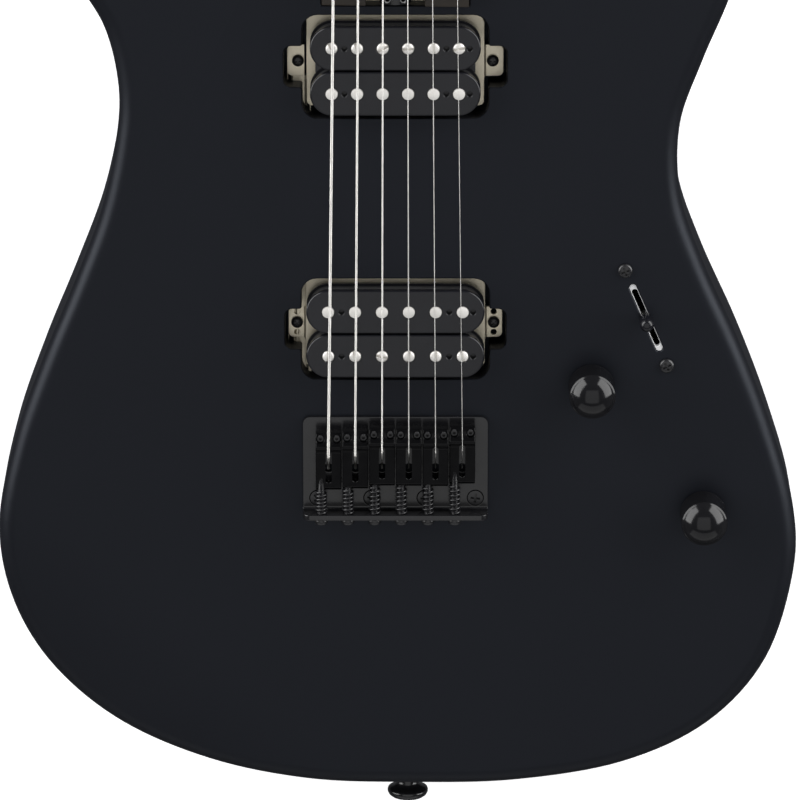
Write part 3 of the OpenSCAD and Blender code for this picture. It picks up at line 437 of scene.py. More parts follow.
def black_plating(name, colour, low, high, sheen=0.6):
    """Black plated or painted metal with polishing haze and fine casting texture."""
    tones = ((60, 5), *drift(colour, 0.85, 1.2))
    return clouded(name, colour, tones, ((220, 6), low, high), ((700, 3), 0.06, 0.12), Specular_IOR_Level=sheen)


def brushed_metal(name, colour, low, high, stretch=(1, 12, 12), metallic=1.0):
    """Bare metal with a grain that runs along its least stretched axis."""
    tones = ((90, 4), (0.25, shade(colour, 0.86)), (0.75, colour))
    grain = (400, 5, stretch, 0.65)
    return clouded(name, colour, tones, (grain, low, high), (grain, 0.12, 0.05), metallic=metallic)


def maple_wood():
    """Straight-grained maple under a satin coat, with painted shade darkening it where it lies in the body."""
    pale, deep = (0.63, 0.42, 0.22), (0.5, 0.31, 0.15)
    grain = ((120, 8, (1, 0.05, 1), 0.6), (0.2, deep), (0.55, pale), (0.85, shade(pale, 1.14)))
    finish = clouded(
        "maple", pale, grain, ((60, 5, (1, 0.2, 1)), 0.36, 0.48), ((900, 4, (1, 0.05, 1)), 0.1, 0.08)
    )
    # Painted shade: tailward of the fingerboard's end, where the heel sits in the body's pocket, the colour is
    # scaled down to a fortieth.
    along = add_node(finish, "SeparateXYZ", place_coordinates(finish))[0].outputs["Y"]
    painted_shade = span(finish, along, 0.025, 1, BOARD_START - 0.2 * MM, BOARD_START + 0.4 * MM)
    base = shader_of(finish).inputs["Base Color"]
    shade_scale = add_node(finish, "VectorMath", base.links[0].from_socket)[0]
    shade_scale.operation = "SCALE"
    finish.node_tree.links.new(painted_shade, shade_scale.inputs["Scale"])
    finish.node_tree.links.new(shade_scale.outputs["Vector"], base)
    return finish


def string_metal():
    """Steel strings: winding ridges on the three thick strings, plain wire on the others."""
    tones = ((120, 5), (0.25, (0.84, 0.82, 0.78)), (0.75, (0.94, 0.92, 0.88)))
    finish = clouded("string_metal", (0.92, 0.9, 0.86), tones, ((500, 4), 0.36, 0.46), metallic=1.0)
    across = add_node(finish, "SeparateXYZ", place_coordinates(finish))[0].outputs["X"]
    thick, is_thick = add_node(finish, "Math", across)
    thick.operation = "LESS_THAN"
    thick.inputs[1].default_value = 0.0
    wound, ridges = add_node(finish, "Math", ripples(finish, 1100, "Y"), is_thick)
    wound.operation = "MULTIPLY"
    emboss(finish, ridges, 0.5, 0.06)
    return finish


def make_finishes(sizes):
    """Every finish of the guitar, by name."""
    lacquer, black = tuple(sizes.body_colour), tuple(sizes.hardware_colour)
    bobbin, moulded, cloth = (0.007, 0.0072, 0.0095), (0.018, 0.018, 0.019), (0.012, 0.012, 0.013)
    ebony, streak = (0.012, 0.010, 0.009), (0.032, 0.022, 0.016)
    tape = clouded("coil_tape", cloth, ((300, 4), *drift(cloth, 0.7, 1.5)), ((160, 4), 0.5, 0.7))
    emboss(tape, ripples(tape, 900, "Z", 1.5), 0.4, 0.08)
    return {
        # Sprayed satin lacquer: faint orange peel, cloudy sheen and slight colour drift
        "lacquer": clouded(
            "satin_black_lacquer", lacquer, ((9, 3), *drift(lacquer, 0.93, 1.08)),
            ((30, 6), 0.43, 0.49), ((420, 2), 0.05, 0.3),
            Specular_IOR_Level=0.28, Specular_Tint=(0.8, 0.87, 1, 1),
        ),
        "plating": black_plating("black_plating", black, 0.14, 0.24),
        "knob": black_plating("knob_black", black, 0.1, 0.17, 0.34),
        "saddle": black_plating("saddle_black", shade(black, 0.4), 0.16, 0.26, 0.14),
        "screw": black_plating("black_screw", shade(black, 1.3), 0.26, 0.4),
        # Moulded and rubbed plastic: hair-fine marks across, faint flow marks
        "bobbin": clouded(
            "bobbin_plastic", bobbin, ((45, 4), *drift(bobbin, 0.85, 1.15)),
            ((260, 7, (1, 5, 1)), 0.17, 0.27), ((160, 2), 0.05, 0.2), Specular_IOR_Level=0.4,
        ),
        # Fine-textured moulded plastic
        "moulded": clouded(
            "moulded_black", moulded, ((50, 4), *drift(moulded, 0.85, 1.2)),
            ((140, 5), 0.42, 0.6), ((1500, 2), 0.25, 0.08),
        ),
        "tape": tape,
        "maple": maple_wood(),
        # Near-black wood with brown streaks and open pores
        "ebony": clouded(
            "ebony", ebony, ((160, 8, (1, 0.04, 1), 0.62), (0.45, ebony), (0.8, streak)),
            ((200, 5, (1, 0.15, 1)), 0.38, 0.55), ((1600, 3, (1, 0.06, 1)), 0.3, 0.08),
        ),
        "fret": brushed_metal("fret_wire", (0.72, 0.71, 0.68), 0.16, 0.28, (12, 1, 12)),
        "string": string_metal(),
        "pole": brushed_metal("pole_steel", (0.98, 0.955, 0.91), 0.42, 0.56, (1, 8, 8), 0.6),
        "nickel": brushed_metal("nickel_silver", (0.93, 0.85, 0.67), 0.36, 0.52, (10, 1, 10), 0.75),
        "inner": brushed_metal("inner_steel", (0.62, 0.62, 0.61), 0.2, 0.34),
        "trim": brushed_metal("bright_trim", (0.95, 0.95, 0.96), 0.5, 0.65, metallic=0.4),
        # Rough cast magnet
        "magnet": clouded(
            "magnet", (0.08, 0.08, 0.085), ((300, 6), (0.3, (0.05, 0.05, 0.055)), (0.7, (0.12, 0.12, 0.125))),
            ((180, 4), 0.5, 0.75), ((800, 5), 0.4, 0.1), metallic=0.8,
        ),
        "pearl": clouded(
            "pearl", (0.8, 0.79, 0.75),
            ((350, 6, (1, 1.6, 1)), (0.3, (0.62, 0.63, 0.6)), (0.7, (0.86, 0.85, 0.82))), ((200, 4), 0.15, 0.3),
        ),
    }


FINISHES = {}


def add_piece(name, bm, finish, body="root", replaces=(), sharp=35, even=True):
    """Makes a finished piece from a bmesh: smooth shading, one material, and its place on a body."""
    bmesh.ops.recalc_face_normals(bm, faces=bm.faces)
    mesh = mesh_of(bm, name)
    if not mesh.polygons:
        raise RuntimeError(f"{name} has no faces")
    mesh.shade_smooth()
    mesh.set_sharp_from_angle(angle=math.radians(sharp))
    mesh.materials.append(FINISHES[finish])
    piece = bpy.data.objects.new(name, mesh)
    bpy.context.scene.collection.objects.link(piece)
    if even:
        piece.modifiers.new("even_shading", "WEIGHTED_NORMAL").keep_sharp = True
    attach(piece, body)
    if replaces:
        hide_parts(*replaces)
    return piece


def add_softened(node, finish, width, body="root", segments=2):
    """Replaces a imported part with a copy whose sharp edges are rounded."""
    bm = bmesh.new()
    bm.from_mesh(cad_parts[node].data)
    bmesh.ops.remove_doubles(bm, verts=bm.verts, dist=2 * CLOSE)
    bmesh.ops.dissolve_limit(bm, angle_limit=math.radians(0.5), verts=bm.verts, edges=bm.edges)
    soften(bm, sharp_edges(bm), width, segments)
    return add_piece(node + "_finished", bm, finish, body, (node,))


def dress(node, finish):
    """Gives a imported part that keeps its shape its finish."""
    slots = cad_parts[node].data.materials
    slots.clear()
    slots.append(FINISHES[finish])


# ---- Sizes and colours that a user may change ---------------------------------------------------


class GuitarSizes(bpy.types.PropertyGroup):
    """Sizes and colours of the finished guitar."""

    edge_radius: bpy.props.FloatProperty(
        name="Edge Radius", description="Radius of the rounded body edges", default=7 * MM, unit="LENGTH"
    )
    contour_depth: bpy.props.FloatProperty(
        name="Forearm Contour", description="How deep the forearm contour falls away at the body's edge",
        default=4 * MM, unit="LENGTH",
    )
    contour_start: bpy.props.FloatProperty(
        name="Contour Start", description="Distance from the bridge line to where the contour begins",
        default=122 * MM, unit="LENGTH",
    )
    rout_edge: bpy.props.FloatProperty(
        name="Rout Edge", description="Radius where a pocket meets the front", default=0.7 * MM, unit="LENGTH"
    )
    knurl_count: bpy.props.IntProperty(
        name="Knurls", description="Number of ridges round a knob", default=84, min=24
    )
    knurl_depth: bpy.props.FloatProperty(
        name="Knurl Depth", description="Depth of the knob's ridges", default=0.28 * MM, unit="LENGTH"
    )
    spring_turns: bpy.props.IntProperty(
        name="Spring Turns", description="Turns in each intonation spring", default=6, min=3
    )
    body_colour: bpy.props.FloatVectorProperty(
        name="Body Colour", description="Colour of the satin lacquer", subtype="COLOR",
        default=(0.0034, 0.0037, 0.0056),
    )
    hardware_colour: bpy.props.FloatVectorProperty(
        name="Hardware Colour", description="Colour of the black plated parts", subtype="COLOR",
        default=(0.007, 0.007, 0.008),
    )
    light_power: bpy.props.FloatProperty(
        name="Light Power", description="Power of each side softbox", subtype="POWER", default=60
    )
    camera_tilt: bpy.props.FloatProperty(
        name="Camera Tilt", description="Lean of the camera towards the neck", subtype="ANGLE",
        default=math.radians(18),
    )
    camera_distance: bpy.props.FloatProperty(
        name="Camera Distance", description="From the camera to the front of the body",
        default=2.6, unit="LENGTH",
    )


# ---- Body ---------------------------------------------------------------------------------------

PickupPlace = namedtuple("PickupPlace", "box y length bobbin_length tab_holes")
PICKUPS = [
    PickupPlace(box, centre(box).y, *sizes)
    for box, sizes in zip(
        solids_of("pickup_baseplates"), ((70.4 * MM, 69.7 * MM, 3), (69.0 * MM, 66.0 * MM, 1))
    )
]
CAVITY_CEILING = TOP - 6.5 * MM
HEEL_WIDTH = 56.8 * MM
NUT_WIDTH = 42.9 * MM
HEEL_DEPTH = 19.4 * MM
POCKET_GAP = 0.15 * MM


def neck_half_width(y):
    """Half the width of the neck at a distance along it."""
    share = (NUT_START - y) / (NUT_START - HEEL_Y)
    return (NUT_WIDTH + (HEEL_WIDTH - NUT_WIDTH) * share) / 2


def pickup_rout(bm, pickup):
    """Cutter for a pickup pocket with an ear at each end."""
    x, y = pickup.length / 2 + 1.5 * MM, 20.6 * MM
    ear_x, ear_y = 43.2 * MM, 8.2 * MM
    wide, small, inner = 6 * MM, 3 * MM, 1 * MM
    quarter = [(x, -y, wide), (x, -ear_y, inner), (ear_x, -ear_y, small)]
    half = quarter + [(cx, -cy, r) for cx, cy, r in reversed(quarter)]
    corners = half + [(-cx, -cy, r) for cx, cy, r in half]
    plate(bm, [(cx, pickup.y + cy, r) for cx, cy, r in corners], TOP - 16 * MM, TOP + CLEAR)


def cavity_cutter(grow, low, high):
    """A closed shape round all the corners of the control cavity."""
    jack, way = edge_place(JACK_POINT)
    corners = [
        (SWITCH_AT + 22 * MM * SLOT_WAY, 10 * MM),
        (SWITCH_AT - 22 * MM * SLOT_WAY, 11 * MM),
        (centre(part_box("volume_knob")), 16 * MM),
        (centre(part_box("tone_knob")), 16 * MM),
        (jack - JACK_DEPTH * way, 12 * MM),
    ]
    bm = bmesh.new()
    for place, radius in corners:
        for z in (low, high):
            ring = bmesh.ops.create_circle(bm, radius=radius + grow, segments=40)["verts"]
            bmesh.ops.translate(bm, verts=ring, vec=(place.x, place.y, z))
    hull = bmesh.ops.convex_hull(bm, input=bm.verts)
    inside = [g for g in hull["geom_interior"] if isinstance(g, bmesh.types.BMVert)]
    bmesh.ops.delete(bm, geom=inside, context="VERTS")
    bmesh.ops.delete(bm, geom=[e for e in bm.edges if not e.link_faces], context="EDGES")
    bmesh.ops.dissolve_limit(bm, angle_limit=math.radians(0.5), verts=bm.verts, edges=bm.edges)
    return bm


def jack_matrix():
    """Puts a piece made along +Z on the edge of the body at the output socket."""
    at, way = edge_place(JACK_POINT)
    across = Vector((-way.y, way.x, 0))
    return Matrix.Translation(at) @ Matrix((across, UP, way)).transposed().to_4x4()


def slot_matrix():
    """Turns a piece made along +X into line with the switch slot and puts it there."""
    turn = Matrix.Rotation(math.atan2(SLOT_WAY.y, SLOT_WAY.x), 4, "Z")
    return Matrix.Translation((SWITCH_AT.x, SWITCH_AT.y, 0)) @ turn


def body_cutters():
    """Groups of cutters. Shapes within a group stay clear of each other."""
    deep, slot, jack, jack_seat = (bmesh.new() for _ in range(4))
    for pickup in PICKUPS:
        pickup_rout(deep, pickup)
    far = HEEL_Y + 140 * MM
    near_half, far_half = (neck_half_width(y) + POCKET_GAP for y in (HEEL_Y, far))
    near = HEEL_Y - POCKET_GAP
    pocket = [(-near_half, near), (near_half, near), (far_half, far), (-far_half, far)]
    plate(deep, pocket, BOARD_PLANE - HEEL_DEPTH, TOP + CLEAR)
    low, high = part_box("neck_plate")
    sides = (low.x - POCKET_GAP, low.y - POCKET_GAP, high.x + POCKET_GAP, high.y + POCKET_GAP)
    plate(deep, box_corners(*sides, 6 * MM), -1 * MM, high.z)
    for box in solids_of("string_ferrules"):
        cylinder(deep, centre(box), 4.75 * MM, -1 * MM, 1.02 * MM)
    for point in STRAP_POINTS:
        spot = bmesh.new()
        cylinder(spot, (0, 0), 7 * MM, -0.9 * MM, 12 * MM)
        put(deep, mesh_of(spot, "spot"), seat(*edge_place(point)))
    stadium(slot, 29.6 * MM, 3 * MM, (0, 0), CAVITY_CEILING - 3 * MM, TOP + 3 * MM, 24)
    cylinder(jack, (0, 0), 11 * MM, -JACK_DEPTH, 12 * MM, 48)
    plate(jack_seat, box_corners(-20.3 * MM, -13.3 * MM, 20.3 * MM, 13.3 * MM, 5 * MM), -3.6 * MM, 12 * MM)
    cavity = cavity_cutter(0, 3 * MM, CAVITY_CEILING)
    lid = cavity_cutter(5.35 * MM, -1 * MM, 2.1 * MM)
    at_jack = jack_matrix()
    return [deep, moved(slot, slot_matrix()), cavity, lid, moved(jack, at_jack), moved(jack_seat, at_jack)]


def carve_forearm(bm, sizes):
    """Lets the front fall away in a smooth curve where the player's forearm rests."""
    way = Vector((-0.67, -0.74, 0)).normalized()
    bands, slide = 20, 0.32  # cuts across the slope; how far it slips to the tail for each unit of drop
    start = sizes.contour_start
    run = max(v.co.dot(way) for v in bm.verts) - start
    for k in range(bands):
        everything = bm.verts[:] + bm.edges[:] + bm.faces[:]
        at = way * (start + run * k / bands)
        bmesh.ops.bisect_plane(bm, geom=everything, plane_co=at, plane_no=way, dist=1e-7)
    for vert in bm.verts:
        share = (vert.co.dot(way) - start) / run
        if share > 0 and vert.co.z > TOP - sizes.edge_radius - CLOSE:
            drop = sizes.contour_depth * share * share
            vert.co.z -= drop
            vert.co.y -= slide * drop


class GUITAR_OT_body(bpy.types.Operator):
    """Make the lacquered body with its rounded edges, pockets and forearm contour"""

    bl_idname = "guitar.body"
    bl_label = "Body"

    def execute(self, context):
        sizes = context.scene.guitar
        bm = bmesh.new()
        plate(bm, [p * MM for p in smooth_loop(OUTLINE)], 0, TOP)
        soften(bm, [e for e in bm.edges if not runs(e, Z)], sizes.edge_radius, 8)
        cut(bm, *body_cutters())
        for level, width in ((TOP, sizes.rout_edge), (0, 0.4 * MM)):
            soften(bm, sharp_edges(bm, 60, lambda e: lies_at(e, Z, level)), width)
        carve_forearm(bm, sizes)
        add_piece("body_wood", bm, "lacquer", replaces=("body",), sharp=28)
        return {"FINISHED"}


# ---- Neck ---------------------------------------------------------------------------------------


def neck_section(bm, y, top, depth, squareness):
    """Adds one cross-section of the neck, flat on top and rounded below, and returns its edges."""
    half, steps, ring = neck_half_width(y), 28, []
    power = 2 / squareness
    for s in range(steps + 1):
        c, d = math.cos(math.pi * s / steps), math.sin(math.pi * s / steps)
        x = math.copysign(half * abs(c) ** power, c)
        ring.append(bm.verts.new((x, y, top - depth * abs(d) ** power)))
    return [bm.edges.new(pair) for pair in zip(ring, ring[1:] + ring[:1])]


def headstock_outline():
    """Outline of the headstock round its six posts."""
    first, last = POSTS[0].xy, POSTS[5].xy
    line = (last - first).normalized()
    side = Vector((-line.y, line.x))
    half = NUT_WIDTH / 2
    # Beside the nut as (x from the nut's end, y from the nut), at the posts as (to the side, along)
    treble = [(-0.5, -2), (1.5, 14), (6, 34), (7, 66)]
    tip = [(-15, -14), (-12, 10), (-3, 22), (8, 20), (13.5, 8)]
    points = [Vector((half + x * MM, NUT_END + y * MM)) for x, y in treble]
    points += [last + a * MM * side + b * MM * line for a, b in tip]
    points += [POSTS[k].xy + 13.5 * MM * side for k in (4, 2, 0)]
    points += [first + 10 * MM * side - 14 * MM * line]
    points += [Vector((-half + x * MM, NUT_END + y * MM)) for x, y in ((-1.5, 12), (0.5, -2))]
    return smooth_loop(points)


class GUITAR_OT_neck(bpy.types.Operator):
    """Make the maple neck and headstock, and finish the fingerboard, frets, dots and nut"""

    bl_idname = "guitar.neck"
    bl_label = "Neck"

    def execute(self, context):
        bm = bmesh.new()
        bend = HEEL_Y + 76 * MM
        # Place, then in mm the drop below the fingerboard and the depth, then how square the back is
        sections = [
            (HEEL_Y, 0, 19.4, 40), (HEEL_Y + 1 * MM, 0, 19.4, 40), (bend, 0, 19.4, 30),
            (bend + 8 * MM, 0, 19.2, 12), (bend + 16 * MM, 0, 18.4, 6), (bend + 26 * MM, 0, 17.4, 3.6),
            (bend + 42 * MM, 0, 16.6, 2.7), (bend + 80 * MM, 0, 16.1, 2.4), (bend + 180 * MM, 0, 15.5, 2.3),
            (NUT_END - 60 * MM, 0, 14.8, 2.3), (NUT_END - 12 * MM, 0, 14.5, 2.3), (NUT_END, 0, 14.5, 2.5),
            (NUT_END + 4 * MM, 3.2, 12, 2.7), (NUT_END + 9 * MM, 5.0, 11.5, 3.2),
            (NUT_END + 15 * MM, 5.4, 12.4, 4), (NUT_END + 22 * MM, 5.6, 13, 5),
        ]
        rings = [
            neck_section(bm, y, BOARD_PLANE - drop * MM, depth * MM, square)
            for y, drop, depth, square in sections
        ]
        for near, far in zip(rings, rings[1:]):
            bmesh.ops.bridge_loops(bm, edges=near + far)
        for end in (rings[0], rings[-1]):
            bmesh.ops.contextual_create(bm, geom=end)
        notch = bmesh.new()
        sides = box_corners(-11.4 * MM, HEEL_Y - 1 * MM, 11.4 * MM, HEEL_Y + 6.4 * MM, 0.6 * MM)
        plate(notch, sides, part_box("truss_wheel")[0].z - 1.2 * MM, BOARD_PLANE + 2 * MM)
        cut(bm, notch)
        heel_end = HEEL_Y + 7 * MM
        soften(bm, sharp_edges(bm, 60, lambda e: all(v.co.y < heel_end for v in e.verts)), 0.3 * MM, 2)
        add_piece("neck_wood", bm, "maple", replaces=("neck",))

        head = bmesh.new()
        front = BOARD_PLANE - 5 * MM
        plate(head, headstock_outline(), front - 14 * MM, front)
        soften(head, sharp_edges(head, 60), 1.4 * MM, 4)
        add_piece("headstock_wood", head, "maple")

        add_softened("frets", "fret", 0.42 * MM, segments=3)
        add_softened("nut", "moulded", 0.3 * MM)
        for node, finish in (("fingerboard", "ebony"), ("inlay_dots", "pearl"), ("truss_rod", "inner")):
            dress(node, finish)
        add_softened("truss_wheel", "plating", 0.25 * MM, "truss_wheel")
        return {"FINISHED"}


# ---- Pickups ------------------------------------------------------------------------------------

UPPER_FLANGE = 2.6 * MM
LOWER_FLANGE = 1.5 * MM
POLE_RADIUS = 2.35 * MM
TAB_THICKNESS = 1.2 * MM


def make_bobbin(row_y, pickup, xs, base, top):
    """One bobbin with its two flanges, core, pole holes and fixing holes."""
    bm, holes = bmesh.new(), bmesh.new()
    outside, core = (pickup.bobbin_length, 17.6 * MM, (0, row_y)), (59 * MM, 6.4 * MM, (0, row_y))
    upper = stadium(bm, *outside, top - UPPER_FLANGE, top)
    soften(bm, upper.edges, 0.8 * MM, 4)
    stadium(bm, *outside, base, base + LOWER_FLANGE)
    stadium(bm, *core, base + LOWER_FLANGE, top - UPPER_FLANGE)
    fixings = ((xs[0] + xs[1]) / 2, (xs[4] + xs[5]) / 2, xs[5] + 4.1 * MM)
    for places, radius, segments in ((xs, 2.52 * MM, 28), (fixings, 1.1 * MM, 20)):
        for x in places:
            cylinder(holes, (x, row_y), radius, top - 2.2 * MM, top + 1 * MM, segments)
    cut(bm, holes)
    soften(bm, sharp_edges(bm, 60, lambda e: lies_at(e, Z, top)), 0.12 * MM, 1)
    return bm


def make_coil(row_y, pickup, base, top):
    """The taped coil between two flanges, slightly fuller at its middle."""
    bm = bmesh.new()
    low, high = base + LOWER_FLANGE, top - UPPER_FLANGE
    stadium(bm, pickup.bobbin_length - 2.2 * MM, 15.6 * MM, (0, row_y), low, high)
    sides = [e for e in bm.edges if runs(e, Z)]
    bmesh.ops.subdivide_edges(bm, edges=sides, cuts=3, use_grid_fill=True)
    for vert in bm.verts:
        bulge = 0.35 * MM * math.sin(math.pi * (vert.co.z - low) / (high - low))
        away = Vector((vert.co.x, vert.co.y - row_y, 0)).normalized()
        vert.co += bulge * away
    return bm


def make_baseplate(pickup):
    """The bent nickel baseplate with a screw tab at each end."""
    low, high = pickup.box
    under, step = high.z - TAB_THICKNESS, low.z + TAB_THICKNESS
    half, reach, tab_half = pickup.length / 2, high.x, 6.3 * MM
    inner, weld = half - 0.9 * MM, high.z - 0.02 * MM
    bm = bmesh.new()
    plate(bm, box_corners(-half, low.y + 0.7 * MM, half, high.y - 0.7 * MM, 2 * MM), under, high.z)
    soften(bm, sharp_edges(bm, 60, lambda e: lies_at(e, Z, high.z)), 0.25 * MM, 2)
    profile = [
        (half - 1.6 * MM, weld), (half - 1.6 * MM, under), (inner, under), (inner, low.z), (reach, low.z),
        (reach, step), (half + 0.3 * MM, step), (half + 0.3 * MM, weld),
    ]
    # Across the tab and the radius, in mm, of each hole
    spots = [(0, 1.9)] if pickup.tab_holes == 1 else [(0, 1.75), (-4.2, 1.15), (4.2, 1.15)]
    hole_x = 37.8 * MM if pickup.tab_holes == 1 else 38.6 * MM
    for side in (-1, 1):
        leg = bar_of([(x, -tab_half, z) for x, z in profile], (0, 2 * tab_half, 0))
        bends = [e for e in leg.edges if runs(e, Y) and half - 1.2 * MM < e.verts[0].co.x < reach - CLOSE]
        soften(leg, bends, 0.55 * MM)
        soften(leg, [e for e in leg.edges if lies_at(e, X, reach) and runs(e, Z)], 2.2 * MM, 5)
        holes = bmesh.new()
        for offset, radius in spots:
            cylinder(holes, (hole_x, offset * MM), radius * MM, low.z - 2 * MM, high.z + 4 * MM, 28)
        cut(leg, holes)
        soften(leg, sharp_edges(leg, 60, lambda e: lies_at(e, Z, step)), 0.2 * MM, 2)
        if side < 0:
            bmesh.ops.mirror(leg, geom=leg.verts[:] + leg.edges[:] + leg.faces[:], axis="X", merge_dist=0)
            bmesh.ops.delete(leg, geom=[v for v in leg.verts if v.co.x > 0], context="VERTS")
            bmesh.ops.recalc_face_normals(leg, faces=leg.faces)
        put(bm, mesh_of(leg, "tab"), Matrix.Translation((0, pickup.y, 0)))
    return bm


def slug_pole(height):
    """A plain round pole with a small chamfer."""
    r, c = POLE_RADIUS, 0.3 * MM
    rim = [(r, -c), (r - 0.35 * c, -0.25 * c), (r - c, 0), (0, 0.04 * MM)]
    return mesh_of(turned([(0, -height), (r, -height)] + rim, 40), "slug")


def screw_pole(height):
    """A fillister pole screw with a straight slot."""
    r, shank, shoulder = POLE_RADIUS, 1.6 * MM, -2.4 * MM
    rim = [(r, -0.75 * MM), (r - 0.2 * MM, -0.36 * MM), (r - 0.65 * MM, -0.1 * MM), (0, 0.1 * MM)]
    bm = turned([(0, -height), (shank, -height), (shank, shoulder), (r, shoulder)] + rim, 40)
    slot = bmesh.new()
    plate(slot, box_corners(-4 * MM, -0.5 * MM, 4 * MM, 0.5 * MM), -1.5 * MM, 3 * MM)
    return mesh_of(cut(bm, slot), "pole_screw")


class GUITAR_OT_pickups(bpy.types.Operator):
    """Make both pickups: baseplates, bobbins, taped coils, poles and mounting screws"""

    bl_idname = "guitar.pickups"
    bl_label = "Pickups"

    def execute(self, context):
        turns = random.Random(11)
        slug, screw = slug_pole(12 * MM), screw_pole(14 * MM)
        bobbins, coils, plates, poles, mounts = (bmesh.new() for _ in range(5))
        solids, all_poles = solids_of("pickup_bobbins"), solids_of("pickup_poles")
        low, high = min(box[0].z for box in solids), max(box[1].z for box in solids)
        for pickup in PICKUPS:
            own = [box for box in all_poles if abs(centre(box).y - pickup.y) < 15 * MM]
            for group in (own[:6], own[6:]):
                row_y, xs = centre(group[0]).y, sorted(centre(box).x for box in group)
                put(bobbins, mesh_of(make_bobbin(row_y, pickup, xs, low, high), "bobbin"))
                put(coils, mesh_of(make_coil(row_y, pickup, low, high), "coil"))
                threaded = group[0][0].z < pickup.box[0].z
                pole, proud = (screw, 0.35 * MM) if threaded else (slug, 0.25 * MM)
                for box in group:
                    at = Vector((centre(box).x, row_y, high + proud))
                    put(poles, pole, seat(at, UP, turns.uniform(0, math.pi)))
            put(plates, mesh_of(make_baseplate(pickup), "baseplate"))
        add_piece("bobbins", bobbins, "bobbin", replaces=("pickup_bobbins",))
        add_piece("taped_coils", coils, "tape", replaces=("pickup_coils",), even=False)
        add_piece("baseplates", plates, "nickel", replaces=("pickup_baseplates",))
        add_piece("poles", poles, "pole", replaces=("pickup_poles",))
        dress("pickup_magnets", "magnet")
        head = pan_head(4.6 * MM, 2 * MM, "mount_head", 3 * MM)
        for box in solids_of("pickup_mount_screws"):
            at = centre(box)
            put(mounts, head, seat(Vector((at.x, at.y, box[1].z - 2 * MM)), UP, turns.uniform(0, math.pi)))
        add_piece("mounting_screws", mounts, "screw", replaces=("pickup_mount_screws",))
        return {"FINISHED"}


# ---- Bridge and strings -------------------------------------------------------------------------

PLATE_LOW, PLATE_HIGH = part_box("bridge_plate")
BRIDGE_FLOOR = TOP + 2 * MM
WALL_FRONT = PLATE_LOW.y + 2.2 * MM
PIN_RADIUS = 1.5 * MM
PIN_SPREAD = 3.2 * MM
PIN_SETBACK = 2.2 * MM


def make_bridge_plate():
    """The bridge plate, with its rear wall turned up in a small bend and rounded corners."""
    half, back, front = PLATE_HIGH.x, PLATE_LOW.y, PLATE_HIGH.y
    profile = [
        (back, TOP), (front, TOP), (front, BRIDGE_FLOOR), (WALL_FRONT, BRIDGE_FLOOR),
        (WALL_FRONT, PLATE_HIGH.z), (back, PLATE_HIGH.z),
    ]
    bm = bar_of([(-half, y, z) for y, z in profile], (2 * half, 0, 0))
    for y, z, radius, segments in ((WALL_FRONT, BRIDGE_FLOOR, 1.2 * MM, 5), (back, TOP, 1.0 * MM, 4)):
        soften(bm, [e for e in bm.edges if lies_at(e, Y, y) and lies_at(e, Z, z)], radius, segments)
    soften(bm, [e for e in bm.edges if lies_at(e, Y, front) and runs(e, Z)], 3 * MM, 6)
    soften(bm, [e for e in bm.edges if lies_at(e, Z, PLATE_HIGH.z) and runs(e, Y)], 3.5 * MM, 6)
    holes = bmesh.new()
    for low, high in solids_of("small_screws"):
        at = centre((low, high))
        if abs(at.x) < half and abs(at.y - back) < 12 * MM and high.z < TOP + 4 * MM and low.z > 5 * MM:
            cylinder(holes, at, 3.2 * MM, TOP + 0.5 * MM, TOP + 10 * MM)
    for k in STRINGS:
        cylinder(holes, (centre(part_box(f"saddle_{k}")).x, -19 * MM), 1.7 * MM, TOP - 1 * MM, TOP + 10 * MM, 24)
    cut(bm, holes)
    soften(bm, sharp_edges(bm, 55), 0.35 * MM, 2)
    return bm


def make_saddle(box):
    """One saddle: front face, crown, string slot and the holes of its height screws."""
    low, high = box
    front, back, crown = high.y, low.y, high.z
    floor = BRIDGE_FLOOR + 3 * MM
    shoulder, peak, x = crown - 1.6 * MM, front - 5.2 * MM, centre(box).x
    profile = [
        (front, floor), (front, shoulder - 1.6 * MM), (front - 1.2 * MM, shoulder - 0.5 * MM),
        (peak + 1.9 * MM, shoulder - 0.1 * MM), (peak + 0.5 * MM, crown), (peak - 0.5 * MM, crown),
        (peak - 2.6 * MM, shoulder - 0.3 * MM), (back + 1.2 * MM, shoulder - 2.0 * MM),
        (back, shoulder - 3.2 * MM), (back, floor),
    ]
    bm = bar_of([(low.x, y, z) for y, z in profile], (high.x - low.x, 0, 0))
    soften(bm, sharp_edges(bm, 20), 0.4 * MM)
    slot, end, start = bmesh.new(), peak - 1.6 * MM, back + 3.2 * MM
    stadium(slot, end - start, 2.5 * MM, (0, 0), TOP, TOP + 30 * MM, 24)
    moved(slot, Matrix.Translation((x, (end + start) / 2, 0)) @ Matrix.Rotation(math.pi / 2, 4, "Z"))
    for side in (-1, 1):
        cylinder(slot, (x + side * PIN_SPREAD, front - PIN_SETBACK), 1.62 * MM, TOP, TOP + 30 * MM, 28)
    cut(bm, slot)

    def short_on_top(edge):
        return all(v.co.z > shoulder - 4 * MM for v in edge.verts) and edge.calc_length() < 0.6 * MM

    soften(bm, sharp_edges(bm, 45, short_on_top), 0.12 * MM, 1)
    return bm


def height_screw(length):
    """A small set screw with a hexagon socket, its top at the origin."""
    r = PIN_RADIUS
    tip = [(0, -length), (0.7 * r, -length), (r, -length + 0.5 * MM)]
    bm = turned(tip + [(r, -0.3 * MM), (r - 0.3 * MM, 0), (0, 0)], 32)
    socket = bmesh.new()
    cylinder(socket, (0, 0), 0.78 * MM, -1.4 * MM, 1 * MM, 6)
    return mesh_of(cut(bm, socket), "height_screw")


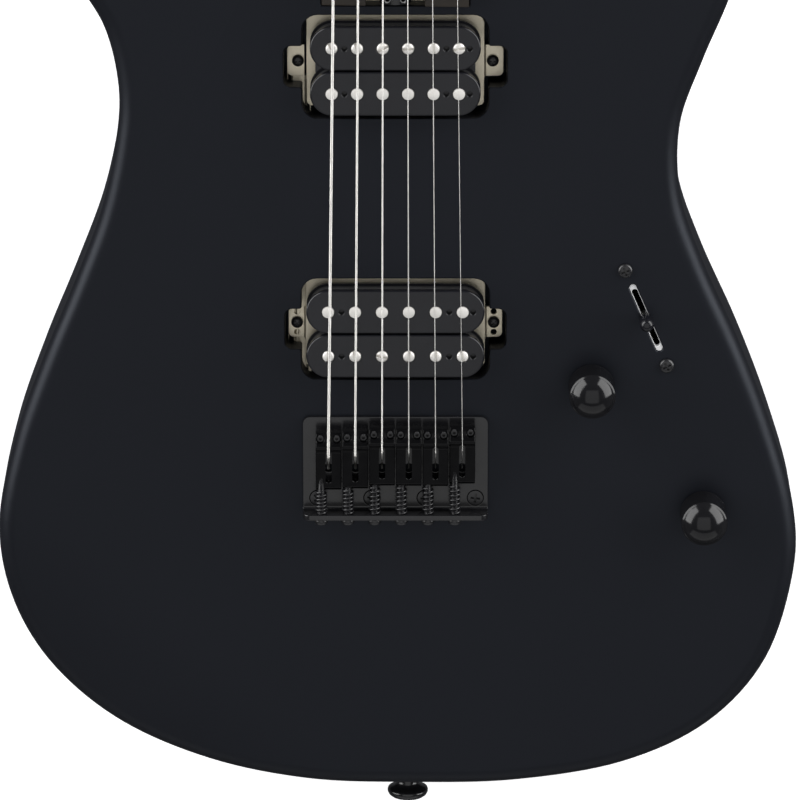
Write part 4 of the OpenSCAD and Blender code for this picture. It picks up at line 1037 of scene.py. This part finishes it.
def make_intonation_screw(box):
    """A long screw with a domed cross-recess head behind the wall and a cut thread."""
    low, high = box
    at, head, r, pitch = centre(box), 2.4 * MM, 1.5 * MM, 0.5 * MM
    end = head - (high.y - low.y)
    profile = [(0, end), (r - 0.25 * MM, end)]
    z = end + 0.3 * MM
    while z < -0.4 * MM:
        profile += [(r, z), (r - 0.24 * MM, z + pitch / 2)]
        z += pitch
    dome = [(-0.2, 0), (1.1, 0), (1.2, 0.3), (1.2, 1.1), (0.8, 1.9), (-0.2, 2.3)]
    profile += [(r + out * MM, rise * MM) for out, rise in dome] + [(0, head)]
    bm = cut(turned(profile, 28), cross_cutter(3.3 * MM, 0.75 * MM, 1.1 * MM, 4 * MM))
    return moved(bm, seat(Vector((at.x, low.y + head, at.z)), Vector((0, -1, 0)), at.x * 90))


def make_spring(axis, start, end, turns):
    """A coil spring round an intonation screw."""
    bm = bmesh.new()
    ring = bmesh.ops.create_circle(bm, radius=0.38 * MM, segments=8)["verts"]
    bmesh.ops.rotate(bm, verts=ring, cent=(0, 0, 0), matrix=Matrix.Rotation(math.pi / 2, 3, "Y"))
    bmesh.ops.translate(bm, verts=ring, vec=(axis.x, start, axis.z + 1.98 * MM))
    steps = turns * 18
    bmesh.ops.spin(
        bm, geom=ring + list({e for v in ring for e in v.link_edges}), cent=(axis.x, 0, axis.z),
        axis=(0, 1, 0), angle=turns * FULL_TURN, steps=steps, dvec=(0, (end - start) / steps, 0),
    )
    bmesh.ops.holes_fill(bm, edges=[e for e in bm.edges if e.is_boundary], sides=8)
    return bm


class GUITAR_OT_bridge(bpy.types.Operator):
    """Make the bridge plate, saddles, height screws, springs and intonation screws"""

    bl_idname = "guitar.bridge"
    bl_label = "Bridge"

    def execute(self, context):
        sizes = context.scene.guitar
        add_piece("bridge_base", make_bridge_plate(), "plating", replaces=("bridge_plate",), sharp=30)
        for k in STRINGS:
            saddle, screw = f"saddle_{k}", f"intonation_screw_{k}"
            low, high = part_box(saddle)
            middle, axis = centre((low, high)), centre(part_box(screw))
            add_piece(f"saddle_block_{k}", make_saddle((low, high)), "saddle", saddle, (saddle,), 30)
            pins = bmesh.new()
            pin = height_screw(high.z - 3.2 * MM - BRIDGE_FLOOR)
            for side in (-1, 1):
                at = Vector((middle.x + side * PIN_SPREAD, high.y - PIN_SETBACK, high.z - 2.6 * MM))
                put(pins, pin, seat(at, UP, k + side))
            add_piece(f"height_screws_{k}", pins, "screw", saddle, sharp=30)
            long_screw = make_intonation_screw(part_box(screw))
            add_piece(f"long_screw_{k}", long_screw, "screw", screw, (screw,), 30, even=False)
            coil = make_spring(axis, WALL_FRONT + 0.5 * MM, low.y - 0.5 * MM, sizes.spring_turns)
            spring = add_piece(f"spring_{k}", coil, "screw", sharp=60, even=False)
            if k == 1:
                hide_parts("intonation_springs")
            spring.parent = None
            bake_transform(spring)
        dress("strings", "string")
        return {"FINISHED"}


# ---- Controls -----------------------------------------------------------------------------------


def make_knob(box, sizes):
    """A turned knob with a diamond-knurled side and a domed top."""
    low, high = box
    r, height, rise = (high.x - low.x) / 2, high.z - low.z, 4.6 * MM
    rim = height - rise
    grip, dome_r = r - 0.1 * MM, 0.93 * r
    bend = (dome_r**2 + rise**2) / (2 * rise)
    spread = math.asin(dome_r / bend)
    rows, columns = 16, 2 * sizes.knurl_count
    band_low, band_high = 1.3 * MM, rim - 0.9 * MM
    step = (band_high - band_low) / rows
    hollow = [(0, 4 * MM), (7.7 * MM, 4 * MM), (7.7 * MM, 0)]
    hollow += [(r - 0.5 * MM, 0), (grip, 0.4 * MM), (grip, 1.0 * MM)]
    side = [(grip, band_low + step * s) for s in range(rows + 1)]
    shoulder = [(r - 0.2 * MM, rim - 0.4 * MM), (r - 0.4 * MM, rim - 0.1 * MM)]
    angles = [spread * (1 - s / 20) for s in range(21)]
    dome = [(bend * math.sin(a), height - bend * (1 - math.cos(a))) for a in angles]
    bm = turned(hollow + side + shoulder + dome, columns)
    for vert in bm.verts:
        if band_low - CLOSE < vert.co.z < band_high + CLOSE and vert.co.xy.length > r - 0.5 * MM:
            column = round(math.atan2(vert.co.y, vert.co.x) / FULL_TURN * columns)
            row = round((vert.co.z - band_low) / step)
            if (column + row) % 2:
                vert.co.xy *= 1 - sizes.knurl_depth / r
    return moved(bm, Matrix.Translation((centre(box).x, centre(box).y, low.z)))


def make_switch_cap(box):
    """The plain round tip of the switch lever."""
    low, high = box
    r, h = (high.x - low.x) / 2, high.z - low.z
    foot = [(0, 0), (r - 0.7 * MM, 0), (r - 0.2 * MM, 0.3 * MM), (r, 1 * MM)]
    # How far in from the side and down from the end, in mm
    end = [(0, 2.6), (0.25, 1.4), (0.9, 0.5), (1.7, 0.1)]
    bm = turned(foot + [(r - a * MM, h - b * MM) for a, b in end] + [(0, h)], 40)
    return moved(bm, Matrix.Translation((centre(box).x, centre(box).y, low.z)))


def make_switch_trim():
    """The bright liner of the switch slot, with a land at each end."""
    trim, opening = bmesh.new(), bmesh.new()
    stadium(trim, 29.4 * MM, 2.9 * MM, (0, 0), TOP - 3.2 * MM, TOP - 0.7 * MM, 24)
    stadium(opening, 25.2 * MM, 2.45 * MM, (0, 0), TOP - 9 * MM, TOP + 3 * MM, 24)
    cut(trim, opening)
    soften(trim, sharp_edges(trim, 60), 0.06 * MM, 1)
    return moved(trim, slot_matrix())


class GUITAR_OT_controls(bpy.types.Operator):
    """Make the two knobs and the pickup switch, and finish the parts under them"""

    bl_idname = "guitar.controls"
    bl_label = "Controls"

    def execute(self, context):
        for name in ("volume", "tone"):
            node = name + "_knob"
            knob = make_knob(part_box(node), context.scene.guitar)
            add_piece(node + "_turned", knob, "knob", name, (node,), 50, even=False)
            dress(name + "_shaft", "inner")
        cap = make_switch_cap(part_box("switch_tip"))
        add_piece("switch_cap", cap, "bobbin", "switch", ("switch_tip",), even=False)
        add_piece("switch_trim", make_switch_trim(), "trim")
        add_softened("switch_lever", "inner", 0.2 * MM, "switch")
        add_softened("switch_frame", "inner", 0.15 * MM)
        dress("pot_cans", "inner")
        add_softened("panel_nuts", "inner", 0.2 * MM)
        return {"FINISHED"}


# ---- Fastenings and fittings --------------------------------------------------------------------


class GUITAR_OT_fittings(bpy.types.Operator):
    """Make the small screws, strap buttons, neck plate, cavity cover, socket and ferrules"""

    bl_idname = "guitar.fittings"
    bl_label = "Fittings"

    def execute(self, context):
        turns = random.Random(5)
        heads, big, buttons, eyes = (bmesh.new() for _ in range(4))
        switch_head = pan_head(5.8 * MM, 1.8 * MM, "switch_head")
        jack_head = pan_head(5 * MM, 1.4 * MM, "plate_head")
        tuner_head = pan_head(3.4 * MM, 1 * MM, "tuner_head")
        bridge_head = flat_head(6 * MM, 1.6 * MM, "bridge_head")
        cover_head = flat_head(4.6 * MM, 1 * MM, "cover_head")
        jack, way = edge_place(JACK_POINT)
        for low, high in solids_of("small_screws"):
            at = centre((low, high))
            twist = turns.uniform(0, math.pi)
            if at.y > NUT_END:
                head, z, up = tuner_head, low.z + 1 * MM, -UP
            elif high.z > TOP and at.x > 50 * MM:
                head, z, up = switch_head, TOP, UP
            elif high.z > TOP:
                head, z, up = bridge_head, BRIDGE_FLOOR, UP
            elif low.z < 1 * MM:
                head, z, up = cover_head, 0.1 * MM, -UP
            else:
                at += way * (-2.1 * MM - (at - jack).dot(way))
                head, z, up = jack_head, at.z, way
            put(heads, head, seat(Vector((at.x, at.y, z)), up, twist))
        add_piece("small_screw_heads", heads, "screw", replaces=("small_screws",))

        neck_head = flat_head(8 * MM, 1.7 * MM, "neck_head")
        for box in solids_of("neck_screws"):
            at = centre(box)
            put(big, neck_head, seat(Vector((at.x, at.y, 0.05 * MM)), -UP, turns.uniform(0, math.pi)))
        add_piece("neck_screw_heads", big, "screw", replaces=("neck_screws",))

        profile = [
            (0, 0), (6.2, 0), (6.2, 0.7), (5.4, 1.6), (4.7, 3), (4.35, 4.6), (4.3, 6), (4.6, 7.4), (5.6, 8.5),
            (7.2, 9.1), (7.9, 9.5), (8.15, 10.2), (8.1, 11), (7.6, 12), (6.6, 12.75), (5, 13.2), (3.4, 13.4),
            (3.3, 12.8), (0, 12.8),
        ]
        button = mesh_of(turned([(r * MM, z * MM) for r, z in profile], 56), "button")
        eye = pan_head(6 * MM, 0.9 * MM, "button_head")
        for point in STRAP_POINTS:
            at, out = edge_place(point)
            put(buttons, button, seat(at - out * 0.9 * MM, out))
            put(eyes, eye, seat(at + out * 11.7 * MM, out, turns.uniform(0, math.pi)))
        add_piece("strap_button_pair", buttons, "plating", replaces=("strap_buttons",), sharp=50, even=False)
        add_piece("strap_button_heads", eyes, "screw")

        add_softened("neck_plate", "plating", 0.35 * MM)
        add_softened("cavity_cover", "moulded", 0.3 * MM)
        add_softened("jack_plate", "plating", 0.3 * MM)
        add_softened("output_jack", "inner", 0.2 * MM)
        add_softened("string_ferrules", "plating", 0.2 * MM)
        return {"FINISHED"}


class GUITAR_OT_tuners(bpy.types.Operator):
    """Finish the tuner housings, bushings, string posts and buttons"""

    bl_idname = "guitar.tuners"
    bl_label = "Tuners"

    def execute(self, context):
        add_softened("tuner_housings", "plating", 0.6 * MM, segments=3)
        add_softened("tuner_bushings", "plating", 0.25 * MM)
        for k in STRINGS:
            dress(f"tuner_post_{k}", "plating")
            add_softened(f"tuner_button_{k}", "plating", 1.0 * MM, f"tuner_button_{k}", 4)
        return {"FINISHED"}


# ---- Stage --------------------------------------------------------------------------------------


def softbox(name, at, width, height, power):
    """An area light that faces the guitar."""
    lamp = bpy.data.lights.new(name, "AREA")
    lamp.shape = "RECTANGLE"
    lamp.size, lamp.size_y, lamp.energy = width, height, power
    light = bpy.data.objects.new(name, lamp)
    light.location = at
    aim = Vector((0, 0.05, 0.04))
    light.rotation_euler = (aim - Vector(at)).to_track_quat("-Z", "Y").to_euler()
    bpy.context.scene.collection.objects.link(light)


class GUITAR_OT_stage(bpy.types.Operator):
    """Make the pale floor, the studio lights and the camera"""

    bl_idname = "guitar.stage"
    bl_label = "Stage"

    def execute(self, context):
        sizes, scene = context.scene.guitar, context.scene
        bm = bmesh.new()
        bmesh.ops.create_grid(bm, x_segments=4, y_segments=4, size=9)
        floor = bpy.data.objects.new("floor", mesh_of(bm, "floor"))
        paper = new_finish(
            "floor_paper", (0.93, 0.93, 0.93), 0.9, Emission_Strength=0.62, Emission_Color=(1, 1, 1, 1)
        )
        floor.data.materials.append(paper)
        scene.collection.objects.link(floor)
        floor.visible_glossy = False

        world = bpy.data.worlds.new("studio")
        world.use_nodes = True
        background = world.node_tree.nodes["Background"]
        background.inputs["Color"].default_value = (0.93, 0.95, 1, 1)
        background.inputs["Strength"].default_value = 0.1
        scene.world = world
        power = sizes.light_power
        softbox("left_softbox", (-1.7, 0.9, 0.62), 2.6, 1.4, power)
        softbox("right_softbox", (1.7, 0.9, 0.62), 2.6, 1.4, power)
        softbox("overhead_softbox", (0, -0.05, 2.1), 2.3, 2.3, 0.17 * power)
        softbox("tail_softbox", (0, -2.1, 0.95), 4.4, 1.8, 0.2 * power)

        lens = bpy.data.cameras.new("camera")
        lens.lens, lens.sensor_width = 297.8, 36
        lens.clip_start, lens.clip_end = 0.05, 100
        camera = bpy.data.objects.new("camera", lens)
        lean, away = sizes.camera_tilt, sizes.camera_distance
        framed = Vector((1.8 * MM, 8.5 * MM, TOP))
        camera.location = framed + away * Vector((0, math.sin(lean), math.cos(lean)))
        camera.rotation_euler = (-lean, 0, 0)
        scene.collection.objects.link(camera)
        scene.camera = camera
        scene.view_settings.view_transform = "Standard"
        return {"FINISHED"}


# ---- Panel and registration ---------------------------------------------------------------------

STEPS = [
    GUITAR_OT_stage,
    GUITAR_OT_body,
    GUITAR_OT_neck,
    GUITAR_OT_pickups,
    GUITAR_OT_bridge,
    GUITAR_OT_controls,
    GUITAR_OT_fittings,
    GUITAR_OT_tuners,
]


class GUITAR_PT_sidebar(bpy.types.Panel):
    """Sizes, colours and steps of the guitar"""

    bl_idname = "GUITAR_PT_sidebar"
    bl_label = "Guitar"
    bl_space_type = "VIEW_3D"
    bl_region_type = "UI"
    bl_category = "Guitar"

    def draw(self, context):
        for name in GuitarSizes.__annotations__:
            self.layout.prop(context.scene.guitar, name)
        for step in STEPS:
            self.layout.operator(step.bl_idname)


CLASSES = [GuitarSizes, *STEPS, GUITAR_PT_sidebar]


def register():
    for one in CLASSES:
        bpy.utils.register_class(one)
    bpy.types.Scene.guitar = bpy.props.PointerProperty(type=GuitarSizes)


def unregister():
    del bpy.types.Scene.guitar
    for one in reversed(CLASSES):
        bpy.utils.unregister_class(one)


def main():
    register()
    FINISHES.update(make_finishes(bpy.context.scene.guitar))
    for step in STEPS:
        group, name = step.bl_idname.split(".")
        getattr(getattr(bpy.ops, group), name)()


if __name__ == "__main__":
    main()
